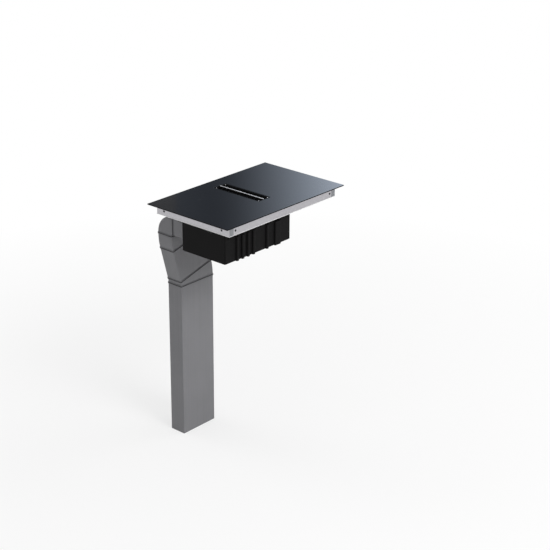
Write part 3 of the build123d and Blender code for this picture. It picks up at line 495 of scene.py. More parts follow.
@dataclass(frozen=True)
class SheetMetal(Finish):
    """Rolled sheet with drawing lines, mottling and handling marks.

    Attributes:
        grain: the direction of the drawing lines.
        metallic: how much of it is bare metal.
        lines: how much the drawing lines change its tone.
        mottle: how much its flakes and its clouds change it.
        specular: its specular level.
    """

    grain: Grain = Grain.ALONG_X
    metallic: float = 0.8
    lines: float = 0.10
    mottle: float = 0.12
    specular: float = 0.5

    def build(self) -> Material:
        """Make the sheet, with lines, mottling and faint scuffs.

        Returns:
            The material.
        """
        shader = Shader(self.name)
        fine = shader.noise(1.0, detail=3.0, rough=0.7, spot=shader.place(self.grain.value))
        patch = shader.part(shader.cells(120.0, "Color"), "X")
        cloud = shader.noise(9.0, detail=4.0, rough=0.6)
        tone = fine * self.lines + patch * self.mottle + cloud * self.mottle
        share = tone.ramp(0.0, self.lines + 2 * self.mottle)
        return shader.close(
            Base_Color=self.tones(shader, share, dark=0.84, light=1.12), Metallic=self.metallic,
            Roughness=tone * 0.6 + (self.roughness - 0.06), Specular_IOR_Level=self.specular,
            Normal=shader.bump(fine + patch * 0.3, depth=0.00003, strength=0.35))


@dataclass(frozen=True)
class Moulded(Finish):
    """Moulded plastic: a fine grain, slow waves and a little mottling.

    Attributes:
        grain_size: how far its pits lie apart.
        grain_depth: how deep they are.
        specular: its specular level.
        mottle: how much its waves and its flow clouds change its tone.
        pitting: how much its pits change it.
    """

    grain_size: float = 0.6 * MM
    grain_depth: float = 0.06 * MM
    specular: float = 0.5
    mottle: float = 0.10
    pitting: float = 0.06

    def build(self) -> Material:
        """Make the plastic, with its tool grain and flow clouds.

        Returns:
            The material.
        """
        shader = Shader(self.name)
        pits = shader.cells(1.0 / self.grain_size)
        slow = shader.noise(14.0, detail=3.0, rough=0.55)
        flow = shader.noise(3.0, detail=2.0, spot=shader.place((6.0, 6.0, 1.6)))
        tone = slow * self.mottle + flow * self.mottle + pits * self.pitting
        share = tone.ramp(0.0, 2 * self.mottle + self.pitting)
        return shader.close(
            Base_Color=self.tones(shader, share, dark=0.86, light=1.14),
            Roughness=slow * 0.12 + pits * self.pitting + (self.roughness - 0.09),
            Specular_IOR_Level=self.specular,
            Normal=shader.bump(pits + slow * 0.8, self.grain_depth, strength=0.5))


@dataclass(frozen=True)
class DuctPlastic(Finish):
    """Smooth extruded plastic with draw lines along the duct and a dulled skin."""

    def build(self) -> Material:
        """Make the duct's skin, with draw lines and soft clouding.

        Returns:
            The material.
        """
        shader = Shader(self.name)
        draw = shader.noise(1.0, detail=3.0, rough=0.6, spot=shader.place((160.0, 160.0, 1.2)))
        cloud = shader.noise(5.0, detail=4.0, rough=0.55)
        specks = shader.cells(420.0).ramp(0.10, 0.02)
        share = (draw * 0.5 + cloud * 0.5).ramp(0.25, 0.75)
        skin_tone = self.tones(shader, share, dark=0.90, light=1.10)
        return shader.close(
            Base_Color=shader.mix(specks * 0.25, skin_tone, self.shade(0.6)),
            Roughness=cloud * 0.14 + draw * 0.06 + (self.roughness - 0.10), Specular_IOR_Level=0.4,
            Normal=shader.bump(draw + cloud, depth=0.00008, strength=0.25))


@dataclass(frozen=True)
class Winding(Finish):
    """Enamelled strand wound in rings about a centre, one ring for each strand's width."""

    centre: Pair = (0.0, 0.0)
    strand: float = 2.4 * MM

    def build(self) -> Material:
        """Make the winding, with one ridge for each turn and a twist along it.

        Returns:
            The material.
        """
        shader = Shader(self.name)
        spot = shader.place(shift=(-self.centre[0], -self.centre[1], 0.0))
        flat = shader.vector("MULTIPLY", spot, (1.0, 1.0, 0.0), output="Vector")
        turns = (shader.vector("LENGTH", flat) * (tau / self.strand)).sine()
        twist = shader.noise(700.0, spot=spot)
        share = turns.ramp(-1.0, 0.2) * (twist * 0.4 + 0.6)
        return shader.close(
            Base_Color=self.tones(shader, share, dark=0.25, light=1.0), Metallic=0.7,
            Roughness=twist * 0.2 + (self.roughness - 0.1),
            Normal=shader.bump(turns + twist * 0.3, depth=0.0006, strength=0.8))


@dataclass(frozen=True)
class CircuitBoard(Finish):
    """Solder mask over straight tracks, with tinned pads."""

    tinned: Colour = (0.62, 0.62, 0.6)

    def build(self) -> Material:
        """Make the board, with tracks and pads in a regular field.

        Returns:
            The material.
        """
        shader = Shader(self.name)
        tracks = shader.node("ShaderNodeTexBrick", {"offset": 0.5}, {
            "Vector": shader.place(), "Scale": 60.0, "Mortar Size": 0.03,
            "Color1": BLACK, "Color2": BLACK, "Mortar": WHITE}, "Fac")
        pads = shader.cells(110.0).ramp(0.16, 0.12)
        mask = self.tones(shader, tracks, dark=1.0, light=1.7)
        return shader.close(
            Base_Color=shader.mix(pads, mask, self.tinned), Metallic=pads * 0.9,
            Roughness=self.roughness + pads * 0.05,
            Normal=shader.bump(tracks + pads, depth=0.00008, strength=0.6))


@dataclass(frozen=True)
class Laminated(Finish):
    """A stack of thin steel sheets under varnish."""

    sheet: float = 1.0 * MM

    def build(self) -> Material:
        """Make the stack, with a line at each sheet's edge.

        Returns:
            The material.
        """
        shader = Shader(self.name)
        height = shader.part(shader.place(), "Z")
        lines = (height * (tau / self.sheet)).sine().ramp(-0.9, -0.2)
        cloud = shader.noise(60.0, detail=3.0)
        varnish = self.tones(shader, cloud, dark=0.9, light=1.2)
        return shader.close(
            Base_Color=shader.mix(lines, self.shade(0.5), varnish), Metallic=0.85,
            Roughness=cloud * 0.2 + (self.roughness - 0.1),
            Normal=shader.bump(lines + cloud * 0.2, depth=0.0001, strength=0.6))


@dataclass(frozen=True)
class Foam(Finish):
    """Soft closed-cell foam or rubber."""

    def build(self) -> Material:
        """Make the foam, with its small pores.

        Returns:
            The material.
        """
        shader = Shader(self.name)
        pores = shader.cells(1500.0)
        cloud = shader.noise(40.0, detail=3.0)
        return shader.close(
            Base_Color=self.tones(shader, pores * 0.5 + cloud * 0.5, dark=0.7, light=1.5),
            Roughness=cloud * 0.1 + (self.roughness - 0.05), Specular_IOR_Level=0.25,
            Normal=shader.bump(pores, depth=0.0002, strength=0.7))


class Palette:
    """Every finish of the part, made once, by its name."""

    def __init__(self, finishes: Sequence[Finish]) -> None:
        """Build the materials of the finishes."""
        self.made = {finish.name: finish.build() for finish in finishes}

    def __getitem__(self, name: str) -> Material:
        """The material of a finish."""
        return self.made[name]


COPPER: Colour = (0.55, 0.24, 0.12)
COPPER_GLOSS = 0.38
FINISHES: tuple[Finish, ...] = (
    CeramicGlass("black_glass", (0.0085, 0.0095, 0.0125), 0.13),
    # Near-black matte finish for the rim round the glass: painted shade for the dark line along the
    # glass's edge.
    Moulded("ground_edge", (0.0030, 0.0030, 0.0034), 0.70, 0.4 * MM, 0.03 * MM, specular=0.05),
    Foam("seal_rubber", (0.006, 0.006, 0.006), 0.85),
    SheetMetal("tray_steel", (0.66, 0.65, 0.68), 0.40, Grain.ALONG_X, 0.97),
    # Darker steel for the corner laps and their welds: painted shade for the shadow along each
    # corner seam.
    SheetMetal("lap_steel", (0.36, 0.37, 0.39), 0.36, Grain.ALONG_Z, 0.9),
    # Bright steel for the foot fold: painted highlight along the walls' bottom edge.
    SheetMetal("fold_steel", (0.90, 0.90, 0.92), 0.34, Grain.ALONG_X, 0.4, 0.05, 0.04),
    SheetMetal("fixing_steel", (0.55, 0.56, 0.58), 0.28, Grain.ALONG_Z, 1.0, 0.05, 0.05),
    SheetMetal("pin_steel", (0.88, 0.88, 0.90), 0.34, Grain.ALONG_Z, 0.35, 0.05, 0.04),
    SheetMetal("black_aluminium", (0.006, 0.006, 0.0065), 0.60, Grain.ALONG_Y, 0.0, specular=0.12),
    SheetMetal("bar_aluminium", (0.86, 0.87, 0.89), 0.42, Grain.ALONG_Y, 0.5, 0.2, 0.03),
    SheetMetal("aluminium", (0.60, 0.61, 0.62), 0.38, Grain.ALONG_X, 1.0, 0.12, 0.06),
    SheetMetal("filter_steel", (0.52, 0.52, 0.53), 0.30, Grain.ALONG_Y, 1.0, 0.12, 0.04),
    Moulded("housing_plastic", (0.0060, 0.0058, 0.0060), 0.55, specular=0.10),
    Moulded("fan_plastic", (0.030, 0.030, 0.032), 0.45, specular=0.4),
    DuctPlastic("duct_plastic", (0.19, 0.19, 0.20), 0.42),
    DuctPlastic("ring_plastic", (0.155, 0.155, 0.163), 0.45),
    Winding("copper_winding", COPPER, COPPER_GLOSS),
    CircuitBoard("board", (0.015, 0.085, 0.045), 0.32),
    Moulded("electric_plastic", (0.62, 0.61, 0.57), 0.45),
    Laminated("motor_steel", (0.16, 0.16, 0.17), 0.42),
)


# ---------- mesh helpers


def centre(node: str) -> Pair:
    """The middle of a node's box along X and Y."""
    low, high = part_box(node)
    return (low.x + high.x) / 2, (low.y + high.y) / 2


def inset(low: Vector, high: Vector, x: float, y: float) -> list[Pair]:
    """The four corners of a box from above, moved inwards along X and Y."""
    return [(u, v) for u in (low.x + x, high.x - x) for v in (low.y + y, high.y - y)]


def profile(foot: float, top: float, rising: Form, falling: Form = ()) -> list[Pair]:
    """A form in metres: one that counts up from a foot, then one that counts down from a top."""
    return ([(i * MM, foot + z * MM) for i, z in rising]
            + [(i * MM, top - z * MM) for i, z in falling])


def rounded(width: float, depth: float, radius: float, height: float,
            middle: Pair = (0.0, 0.0), steps: int = 6) -> Loop:
    """A level rectangle with rounded corners, anticlockwise from above.

    Args:
        width: its size along X.
        depth: its size along Y.
        radius: its corner radius.
        height: its level.
        middle: its middle.
        steps: how many parts each corner has.

    Returns:
        Its points.
    """
    points: Loop = []
    for quarter, (sx, sy) in enumerate(((1, 1), (-1, 1), (-1, -1), (1, -1))):
        cx = middle[0] + sx * (width / 2 - radius)
        cy = middle[1] + sy * (depth / 2 - radius)
        for step in range(steps + 1):
            turn = (quarter + step / steps) * pi / 2
            points.append((cx + radius * cos(turn), cy + radius * sin(turn), height))
    return points


def stacked(size: Pair, radius: float, form: Sequence[Pair], middle: Pair,
            least: float) -> list[Loop]:
    """Loops of one rounded rectangle by insets and levels, with a least corner radius."""
    return [rounded(size[0] - 2 * i, size[1] - 2 * i, max(radius - i, least), z, middle)
            for i, z in form]


def finished(name: str, build: BMesh, material: Material, crease: float) -> Object:
    """Turn a mesh under construction into an object with its normals outwards.

    Args:
        name: the piece's name.
        build: the mesh; it is freed.
        material: its finish.
        crease: the angle in degrees above which an edge stays sharp.

    Returns:
        The object.
    """
    bmesh.ops.remove_doubles(build, verts=build.verts, dist=1e-6)
    bmesh.ops.recalc_face_normals(build, faces=build.faces)
    mesh = bpy.data.meshes.new(name)
    build.to_mesh(mesh)
    build.free()
    mesh.materials.append(material)
    mesh.shade_smooth()
    mesh.set_sharp_from_angle(angle=radians(crease))
    piece = bpy.data.objects.new(name, mesh)
    bpy.context.scene.collection.objects.link(piece)
    return piece


def skin(build: BMesh, loops: Sequence[Loop], ring: bool = False) -> None:
    """Join a row of loops with faces.

    Args:
        build: the mesh they go into.
        loops: loops of equally many points.
        ring: whether the last joins the first; if not, both ends are closed.
    """
    rows = [[build.verts.new(p) for p in loop] for loop in loops]
    for first, second in zip(rows, rows[1:] + (rows[:1] if ring else [])):
        for i in range(len(first)):
            j = (i + 1) % len(first)
            build.faces.new((first[i], first[j], second[j], second[i]))
    if not ring:
        build.faces.new(list(reversed(rows[0])))
        build.faces.new(rows[-1])


def turned(build: BMesh, outline: Sequence[Pair], foot: Point, steps: int) -> None:
    """A closed turned shape about an upright axis.

    Args:
        build: the mesh it goes into.
        outline: its radius and height, from the lowest point to the top.
        foot: the axis's foot.
        steps: how many parts the round has.
    """
    x, y, z = foot
    skin(build, [[(x + r * cos(tau * k / steps), y + r * sin(tau * k / steps), z + h)
                  for k in range(steps)] for r, h in outline])


@dataclass
class Assembly(ABC):
    """A sub-assembly: it makes pieces from the palette and puts them on its body."""

    palette: Palette

    body = "hob"

    @abstractmethod
    def make(self) -> None:
        """Make the sub-assembly's pieces."""

    def hand_over(self, piece: Object, slot: str, nodes: Sequence[str]) -> None:
        """Put a finished piece on its body and note it.

        Args:
            piece: the piece.
            slot: not used.
            nodes: the nodes it stands for.
        """
        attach(piece, self.body)
        if nodes:
            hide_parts(*nodes)
        log.info("%s: %d faces on %s", piece.name, len(piece.data.polygons), self.body)

    def shape(self, name: str, finish: str, build: BMesh, *nodes: str,
              slot: str = "", crease: float = 30.0) -> None:
        """Finish a mesh under construction and hand it over."""
        piece = finished(name, build, self.palette[finish], crease)
        self.hand_over(piece, slot or finish, nodes)

    def plant(self, tree: Grower, name: str, finish: str, places: Sequence[Point],
              *nodes: str, slot: str = "", **changes: Any) -> None:
        """Grow a piece from a tree and hand it over."""
        piece = tree.grow(name, self.palette[finish], places, changes)
        self.hand_over(piece, slot or finish, nodes)


# ---------- glass and grille


@dataclass
class GlassTop(Assembly):
    """The black glass: a polished slot, a dark matte rim round its edge as painted shade for the
    edge's shadow line, and an eased top edge.

    Each edge's form gives how far it lies inside the outline, and its level.
    """

    corner: float = 2.0 * MM
    slot_corner: float = 5.0 * MM
    least_corner: float = 0.3 * MM
    polish: Form = (
        (1.8, 6.0), (1.05, 6.0), (0.68, 5.9), (0.34, 5.6), (0.10, 5.1), (0.0, 4.5), (0.0, 2.6),
        (0.05, 2.25), (0.35, 2.0), (1.2, 2.0))
    eased: Form = (
        (1.2, 2.0), (0.7, 2.0), (0.6, 2.1), (0.6, 3.6), (0.6, 5.1), (0.64, 5.5), (0.8, 5.8),
        (1.05, 5.95), (1.3, 6.0), (1.9, 6.0))
    rim: Form = (
        (0.75, 2.0), (0.3, 2.0), (0.08, 2.1), (0.0, 2.4), (0.0, 4.9), (0.1, 5.3), (0.35, 5.5),
        (0.75, 5.5))

    def make(self) -> None:
        """Make the glass from its outline, its slot and its edges, and the rim round it."""
        low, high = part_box("glass_top")
        hole_low, hole_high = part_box("slot_seal")
        size = (high.x - low.x, high.y - low.y)
        hole = (hole_high.x - hole_low.x, hole_high.y - hole_low.y)
        outer, band = (
            stacked(size, self.corner, profile(0.0, 0.0, form), (0.0, 0.0), self.least_corner)
            for form in (self.eased, self.rim))
        grown = [(-i, z) for i, z in profile(0.0, 0.0, self.polish)]
        inner = stacked(hole, self.slot_corner, grown, centre("slot_seal"), self.least_corner)
        # The rim's near-black matte finish is painted shade for the dark line along the glass's
        # edge.
        for name, finish, loops in (("glass_plate", "black_glass", outer + inner),
                                    ("shade_line_rim", "ground_edge", band)):
            build = bmesh.new()
            skin(build, loops, ring=True)
            self.shape(name, finish, build, "glass_top", slot="black_glass")


@dataclass
class IntakeGrille(Assembly):
    """The lift-out grille: frame, leaning blades, bar and corner pins.

    The rim's form runs up the outside, over the led-in mouth and down the inside. The mouth's,
    the pins' and the pads' heads count down from the top. A bar's corners take no more than
    the round limit's share of its thinner side.
    """

    wall: float = 3.0 * MM
    spine: float = 5.0 * MM
    spine_top: float = 1.5 * MM
    spine_corner: float = 0.4 * MM
    frame_corner: float = 4.0 * MM
    least_corner: float = 0.8 * MM
    outer_foot: Form = ((0.4, 0.0), (0.0, 0.4))
    mouth: Form = (
        (0.0, 0.5), (0.15, 0.15), (0.5, 0.0), (1.0, 0.0), (1.5, 0.2), (2.9, 2.0), (3.0, 2.4))
    inner_foot: Form = ((3.0, 0.3), (2.7, 0.0))
    spine_form: tuple[Form, Form] = (((0.3, 0.0), (0.0, 0.3)), ((0.0, 0.5), (0.5, 0.0)))
    pad_form: tuple[Form, Form] = (((4.6, 0.0), (5.0, 0.4)), ((5.0, 0.6), (4.4, 0.0)))
    pin_form: tuple[Form, Form] = (
        ((1.6, 0.0), (2.0, 0.4)),
        ((2.0, 1.2), (2.4, 1.1), (2.5, 0.8), (2.2, 0.4), (1.5, 0.12), (0.6, 0.0), (0.05, 0.0)))
    pin_inset: float = 2.0 * MM
    pin_head: float = 1.0 * MM
    blades: int = 11
    blade_pitch: float = 23.25 * MM
    blade_size: Pair = (3.0 * MM, 8.0 * MM)
    blade_round: float = 0.8 * MM
    blade_level: float = -4.5 * MM
    blade_bite: float = 0.3 * MM
    lean: float = radians(20.0)
    bar_round: float = 1.5 * MM
    round_limit: float = 0.45
    rail_height: float = 3.8 * MM
    strip_width: float = 5.2 * MM
    strip_sunk: float = 0.6 * MM
    end_form: Form = (
        (0.0, 0.9), (0.25, 0.5), (0.8, 0.2), (1.6, 0.0), (7.0, 0.0), (7.1, 0.3), (7.6, 0.3),
        (7.7, 0.0))

    body = "grille"

    def make(self) -> None:
        """Make the frame, the blades, the bar and the pins."""
        self.low, self.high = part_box("intake_grille")
        self.middle = centre("intake_grille")
        self.frame()
        self.blade_rows()
        self.bar()
        self.pins()

    def frame(self) -> None:
        """The rim with its led-in mouth, the spine and the four pads."""
        width, length = self.high.x - self.low.x, self.high.y - self.low.y
        foot, top = self.low.z, self.high.z
        build = bmesh.new()
        rim = profile(foot, top, self.outer_foot, self.mouth) + profile(foot, top, self.inner_foot)
        skin(build, stacked((width, length), self.frame_corner, rim, self.middle,
                            self.least_corner), ring=True)
        run = length - 2 * self.wall + self.spine_corner
        spine = profile(foot, self.spine_top, *self.spine_form)
        skin(build, [rounded(2 * (self.spine - i), run, self.spine_corner, z, self.middle,
                             steps=2) for i, z in spine])
        low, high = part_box("grille_pins")
        pad = profile(0.0, high.z - self.pin_head - foot, *self.pad_form)
        for x, y in inset(low, high, self.pin_inset, self.pin_inset):
            turned(build, pad, (x, y, foot), steps=28)
        self.shape("grille_frame", "black_aluminium", build, "intake_grille")

    def blade_rows(self) -> None:
        """The two rows of leaning blades, one row each side of the spine."""
        x, y = self.middle
        start = y - self.blade_pitch * (self.blades - 1) / 2
        near = self.spine - self.blade_bite
        reach = (self.high.x - self.low.x) / 2 - self.wall + self.blade_bite - near
        tree = Grower("blade_row")
        length, thick, height, rounding, lean, pitch, count = tree.sizes(
            Length=reach, Thickness=self.blade_size[0], Height=self.blade_size[1],
            Rounding=self.blade_round, Lean=self.lean, Pitch=self.blade_pitch, Count=self.blades)
        blade = tree.swept(tree.line(0.0, length), tree.rectangle(thick, height, rounding))
        tree.close(tree.copies(tree.row(count, tree.pack(0.0, pitch, 0.0)), blade,
                               tree.pack(lean, 0.0, 0.0)))
        self.plant(tree, "grille_blades", "black_aluminium",
                   [(u, start, self.blade_level) for u in (x - near - reach, x + near)],
                   "intake_grille")

    def bar(self) -> None:
        """The black rail and the brushed strip on it, both with rounded ends."""
        low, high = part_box("centre_bar")
        middle, half, share = (low.x + high.x) / 2, self.strip_width / 2, low.z + self.rail_height
        along = (low.y, high.y)
        self.moulding("bar_rail", "black_aluminium", (low.x, high.x), (low.z, share), along)
        self.moulding("brushed_bar", "bar_aluminium", (middle - half, middle + half),
                      (share - self.strip_sunk, high.z), along)

    def moulding(self, name: str, finish: str, across: Pair, upright: Pair, along: Pair) -> None:
        """A long rounded bar with eased ends and a fine groove near each.

        Args:
            name: the piece's name.
            finish: its finish.
            across: its sides along X.
            upright: its foot and its top.
            along: its two ends.
        """
        middle = (sum(across) / 2, sum(upright) / 2)
        width, height = across[1] - across[0], upright[1] - upright[0]
        radius = min(self.bar_round, self.round_limit * min(width, height))
        places = ([(along[0] + y * MM, shrink * MM) for y, shrink in self.end_form]
                  + [(along[1] - y * MM, shrink * MM) for y, shrink in reversed(self.end_form)])
        build = bmesh.new()
        skin(build, [[(x, y, z) for x, z, _ in rounded(
            width - 2 * shrink, height - 2 * shrink, radius - shrink / 2, 0.0, middle, steps=5)]
            for y, shrink in places])
        self.shape(name, finish, build, "centre_bar", crease=40.0)

    def pins(self) -> None:
        """The four bright corner pins, each a domed head on a stem."""
        low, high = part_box("grille_pins")
        build = bmesh.new()
        outline = profile(0.0, high.z - low.z, *self.pin_form)
        for x, y in inset(low, high, self.pin_inset, self.pin_inset):
            turned(build, outline, (x, y, low.z), steps=24)
        self.shape("domed_pins", "pin_steel", build, "grille_pins", slot="fixing_steel")


# ---------- grease filter


@dataclass
class GreaseFilter(Assembly):
    """The filter's two panels of expanded metal, whose strands have a width and a depth.

    A strand's round is its corner radius as a share of its width.
    """

    pitch: float = 6.0 * MM
    rise: float = 3.0 * MM
    strand: Pair = (0.6 * MM, 0.9 * MM)
    strand_round: float = 0.2
    panel: float = 3.2 * MM

    body = "filter"

    def make(self) -> None:
        """Grow one slanted panel each side."""
        low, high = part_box("filter_mesh_right")
        length, height = high.y - low.y, high.z - low.z
        head, foot = high.x - self.panel / 2, low.x + self.panel / 2
        slope = atan2(head - foot, height)
        tree = self.lattice(length, height / cos(slope))
        for side, node in ((1, "filter_mesh_right"), (-1, "filter_mesh_left")):
            self.plant(tree, node.replace("filter_mesh", "expanded_mesh"), "filter_steel",
                       [(side * foot, low.y, low.z)], node, Turn=(0.0, side * slope, 0.0))

    def lattice(self, length: float, tall: float) -> Grower:
        """The tree of one lozenge lattice: rows of zigzag strands that touch at their points.

        Args:
            length: its length.
            tall: its height.

        Returns:
            The tree.
        """
        columns, rows = int(length / (self.pitch / 2)), int(tall / (2 * self.rise))
        tree = Grower("expanded_metal")
        half, rise, strand, depth, knots, lines = tree.sizes(
            Half_pitch=length / columns, Rise=tall / (2 * rows), Strand=self.strand[0],
            Depth=self.strand[1], Columns=columns + 1, Rows=rows)
        index = tree.node("GeometryNodeInputIndex")
        line = tree.row(knots, tree.pack(0.0, half, 0.0))
        bars = []
        for phase in (0.0, 1.0):
            shift = tree.pack(0.0, 0.0, ((index + phase) % 2.0 + phase) * rise)
            zigzag = tree.node("GeometryNodeSetPosition", {}, {"Geometry": line, "Offset": shift})
            curve = tree.node("GeometryNodeMeshToCurve", {}, {"Mesh": zigzag})
            section = tree.rectangle(depth, strand, strand * self.strand_round)
            bars.append(tree.swept(curve, section))
        stack = tree.row(lines, tree.pack(0.0, 0.0, rise * 2.0))
        tree.close(tree.copies(stack, tree.joined(*bars)))
        return tree


# ---------- tray and tub


@dataclass
class SteelTray(Assembly):
    """The tray's pressed louvres, corner seams and spot welds painted darker as shade, eyelets with
    black plugs painted as hole shade, and a fold painted bright as a highlight.

    A round is a corner radius as a share of how far its bar stands proud. The weld's taper and
    the plug's fit are shares of the weld's and the hole's radius.
    """

    sheet: float = 1.0 * MM
    louvre: Pair = (46.0 * MM, 2.2 * MM)
    vent_pitch: float = 9.0 * MM
    floor_vents: int = 7
    lap: float = 26.0 * MM
    lap_proud: float = 0.7 * MM
    lap_sunk: float = 0.4 * MM
    lap_edge: float = 0.25 * MM
    lap_slant: float = 2.0 * MM
    lap_gaps: Point = (2.4 * MM, 1.0 * MM, 1.5 * MM)
    weld: Pair = (2.1 * MM, 0.5 * MM)
    weld_taper: float = 0.55
    weld_inset: float = 12.0 * MM
    weld_levels: Point = (-12.0 * MM, -24.0 * MM, -36.0 * MM)
    clamp_spots: Pair = (185.0 * MM, 335.0 * MM)
    clamp_level: float = -25.0 * MM
    clamp_hole: float = 2.1 * MM
    eyelet: Pair = (3.2 * MM, 1.4 * MM)
    eyelet_round: float = 0.35
    plug_fit: float = 1.02
    fold_corner: float = 1.2 * MM
    fold_tall: float = 3.0 * MM
    fold_proud: float = 0.6 * MM
    fold_round: float = 0.9

    def make(self) -> None:
        """Make the louvres, the seams, the welds, the eyelets and the fold."""
        self.low, self.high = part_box("tray")
        self.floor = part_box("tray_floor")[0].z
        self.wall_x, self.wall_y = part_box("tray_floor")[1].x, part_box("tray_floor")[1].y
        self.louvres()
        self.seams()
        self.welds()
        self.eyelets()
        self.fold()

    def louvres(self) -> None:
        """Pressed hoods over the floor's vents, under the two small fans."""
        tree = Grower("louvres")
        length, radius, pitch, count = tree.sizes(
            Length=self.louvre[0], Radius=self.louvre[1], Pitch=self.vent_pitch,
            Count=self.floor_vents)
        arc = tree.node("GeometryNodeCurveArc", {"mode": "RADIUS"},
                        {"Resolution": 7, "Radius": radius, "Sweep Angle": pi})
        shut = tree.node("GeometryNodeSetSplineCyclic", {}, {"Geometry": arc, "Cyclic": True})
        hood = tree.swept(tree.line(length * -0.5, length * 0.5), shut)
        start = tree.pack(0.0, pitch * (count - 1.0) * -0.5, 0.0)
        tree.close(tree.copies(tree.row(count, tree.pack(0.0, pitch, 0.0), start), hood))
        self.plant(tree, "floor_louvres", "tray_steel", [
            (*centre(f"cooling_fan_frame_{place}"), self.floor) for place in ("front", "rear")])

    def seams(self) -> None:
        """The folded lap at each corner, a flap of the side wall over the front or the rear, in a
        darker finish: painted shade for the shadow along the seam.
        """
        build = bmesh.new()
        beside, above, under = self.lap_gaps
        top, foot = self.high.z - self.sheet - under, self.low.z + above
        near = self.wall_x - beside
        far = near - self.lap
        for sx, sy in CORNERS:
            loops = []
            for out, ease in ((-self.lap_sunk, 0.0), (self.lap_proud - self.lap_edge, 0.0),
                              (self.lap_proud, self.lap_edge)):
                y = sy * (self.wall_y + out)
                x0, x1 = sx * (near - ease), sx * (far + ease)
                loops.append([(x0, y, foot), (x1, y, foot + self.lap_slant),
                              (x1, y, top - self.lap_slant), (x0, y, top)])
            skin(build, loops)
        self.shape("corner_laps", "lap_steel", build, slot="tray_steel")

    def welds(self) -> None:
        """Spot welds down the corner laps, in the laps' darker finish of painted shade."""
        tree = Grower("spot_welds")
        radius, depth = tree.sizes(Radius=self.weld[0], Depth=self.weld[1])
        tree.close(tree.cone(radius, radius * self.weld_taper, depth, sides=14))
        x, y = self.wall_x - self.weld_inset, self.wall_y + self.lap_proud
        for name, sy in (("front_welds", -1), ("rear_welds", 1)):
            self.plant(tree, name, "lap_steel", [
                (sx * x, sy * y, z) for sx in (-1, 1) for z in self.weld_levels],
                slot="tray_steel", Turn=(sy * -pi / 2, 0.0, 0.0))

    def eyelets(self) -> None:
        """A black eyelet in each clamp hole, with a black plug that closes the hole: painted shade
        for the hole's dark inside.
        """
        tree = Grower("eyelets")
        radius, flange, proud = tree.sizes(
            Radius=self.clamp_hole, Flange=self.eyelet[0], Proud=self.eyelet[1])
        ring = tree.swept(tree.circle(radius + flange * 0.5, steps=28),
                          tree.rectangle(flange, proud, proud * self.eyelet_round))
        tree.close(tree.joined(ring, tree.cylinder(radius * self.plug_fit, proud, sides=20)))
        side, end = self.clamp_spots
        for name, angle, x, y in (("side_eyelets", (0.0, pi / 2, 0.0), self.wall_x, side),
                                  ("end_eyelets", (pi / 2, 0.0, 0.0), end, self.wall_y)):
            # The black plugs close the holes: painted shade for the holes' dark inside.
            self.plant(tree, name, "black_aluminium", [
                (sx * x, sy * y, self.clamp_level) for sx, sy in CORNERS],
                slot="fixing_steel", Turn=angle)

    def fold(self) -> None:
        """The rounded fold along the foot of the walls, painted bright: a painted highlight along
        their bottom edge.
        """
        tree = Grower("foot_fold")
        width, depth, corner, tall, proud = tree.sizes(
            Width=2 * self.wall_x, Depth=2 * self.wall_y, Corner=self.fold_corner,
            Tall=self.fold_tall, Proud=self.fold_proud)
        tree.close(tree.swept(tree.rectangle(width, depth, corner, steps=4),
                              tree.rectangle(proud * 2.0, tall, proud * self.fold_round)))
        self.plant(tree, "foot_fold", "fold_steel",
                   [(0.0, 0.0, self.floor + self.fold_tall / 2)], slot="tray_steel")


@dataclass
class FanHousing(Assembly):
    """The housing's screws and the stiffening ribs under its floor.

    The head's foot, the flange's foot and top and the stem are shares of the head's radius, and
    a rib's round is its corner radius as a share of how far it stands proud.
    """

    screw_across: float = 2.7 * MM
    screw_flat: float = 0.866
    head_taper: float = 0.88
    flange_spread: Pair = (1.12, 1.28)
    stem_share: float = 0.52
    head: float = 2.1 * MM
    stem: float = 7.0 * MM
    flange: float = 0.6 * MM
    screw_drop: float = 4.5 * MM
    rib: Pair = (1.6 * MM, 1.5 * MM)
    rib_round: float = 0.3
    rib_sunk: float = 0.3 * MM
    ring_step: float = 34.0 * MM
    reach: Pair = (30.0 * MM, 112.0 * MM)
    rings: int = 3
    spokes: int = 12

    def make(self) -> None:
        """Make the screws and the ribs."""
        self.screws()
        self.ribs()

    def screws(self) -> None:
        """Hexagon screws with a flange and a stem."""
        tree = Grower("hex_screws")
        across, head, stem, flange = tree.sizes(
            Across=self.screw_across, Head=self.head, Stem=self.stem, Flange=self.flange)
        foot, top = self.flange_spread
        tree.close(tree.joined(
            tree.lifted(tree.cone(across * self.head_taper, across, head, sides=6), head * -1.0),
            tree.lifted(tree.cone(across * foot, across * top, flange, sides=24), flange * -1.0),
            tree.lifted(tree.cylinder(across * self.stem_share, stem, sides=16), stem * 0.5)))
        low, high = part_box("cover_screws")
        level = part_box("housing_cover")[1].z - self.screw_drop
        spots = inset(low, high, self.screw_across, self.screw_across * self.screw_flat)
        self.plant(tree, "hex_screws", "fixing_steel", [(x, y, level) for x, y in spots],
                   "cover_screws")

    def ribs(self) -> None:
        """Rings and spokes under the floor, about the fan's axis."""
        tree = Grower("floor_ribs")
        width, proud, step, inner, outer, spokes = tree.sizes(
            Width=self.rib[0], Proud=self.rib[1], Ring_step=self.ring_step, Inner=self.reach[0],
            Outer=self.reach[1], Spokes=self.spokes)
        section = tree.rectangle(width, proud, proud * self.rib_round)
        hoops = [tree.swept(tree.circle(inner + step * float(ring), steps=72), section)
                 for ring in range(self.rings)]
        turn = tree.pack(0.0, 0.0, tree.node("GeometryNodeInputIndex") * tau / spokes)
        spoke = tree.swept(tree.line(inner, outer), section)
        tree.close(tree.joined(*hoops, tree.copies(tree.row(spokes, ORIGIN), spoke, turn)))
        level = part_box("housing_tub")[0].z - self.rib[1] / 2 + self.rib_sunk
        self.plant(tree, "floor_ribs", "housing_plastic", [(*centre("inlet_ring"), level)])


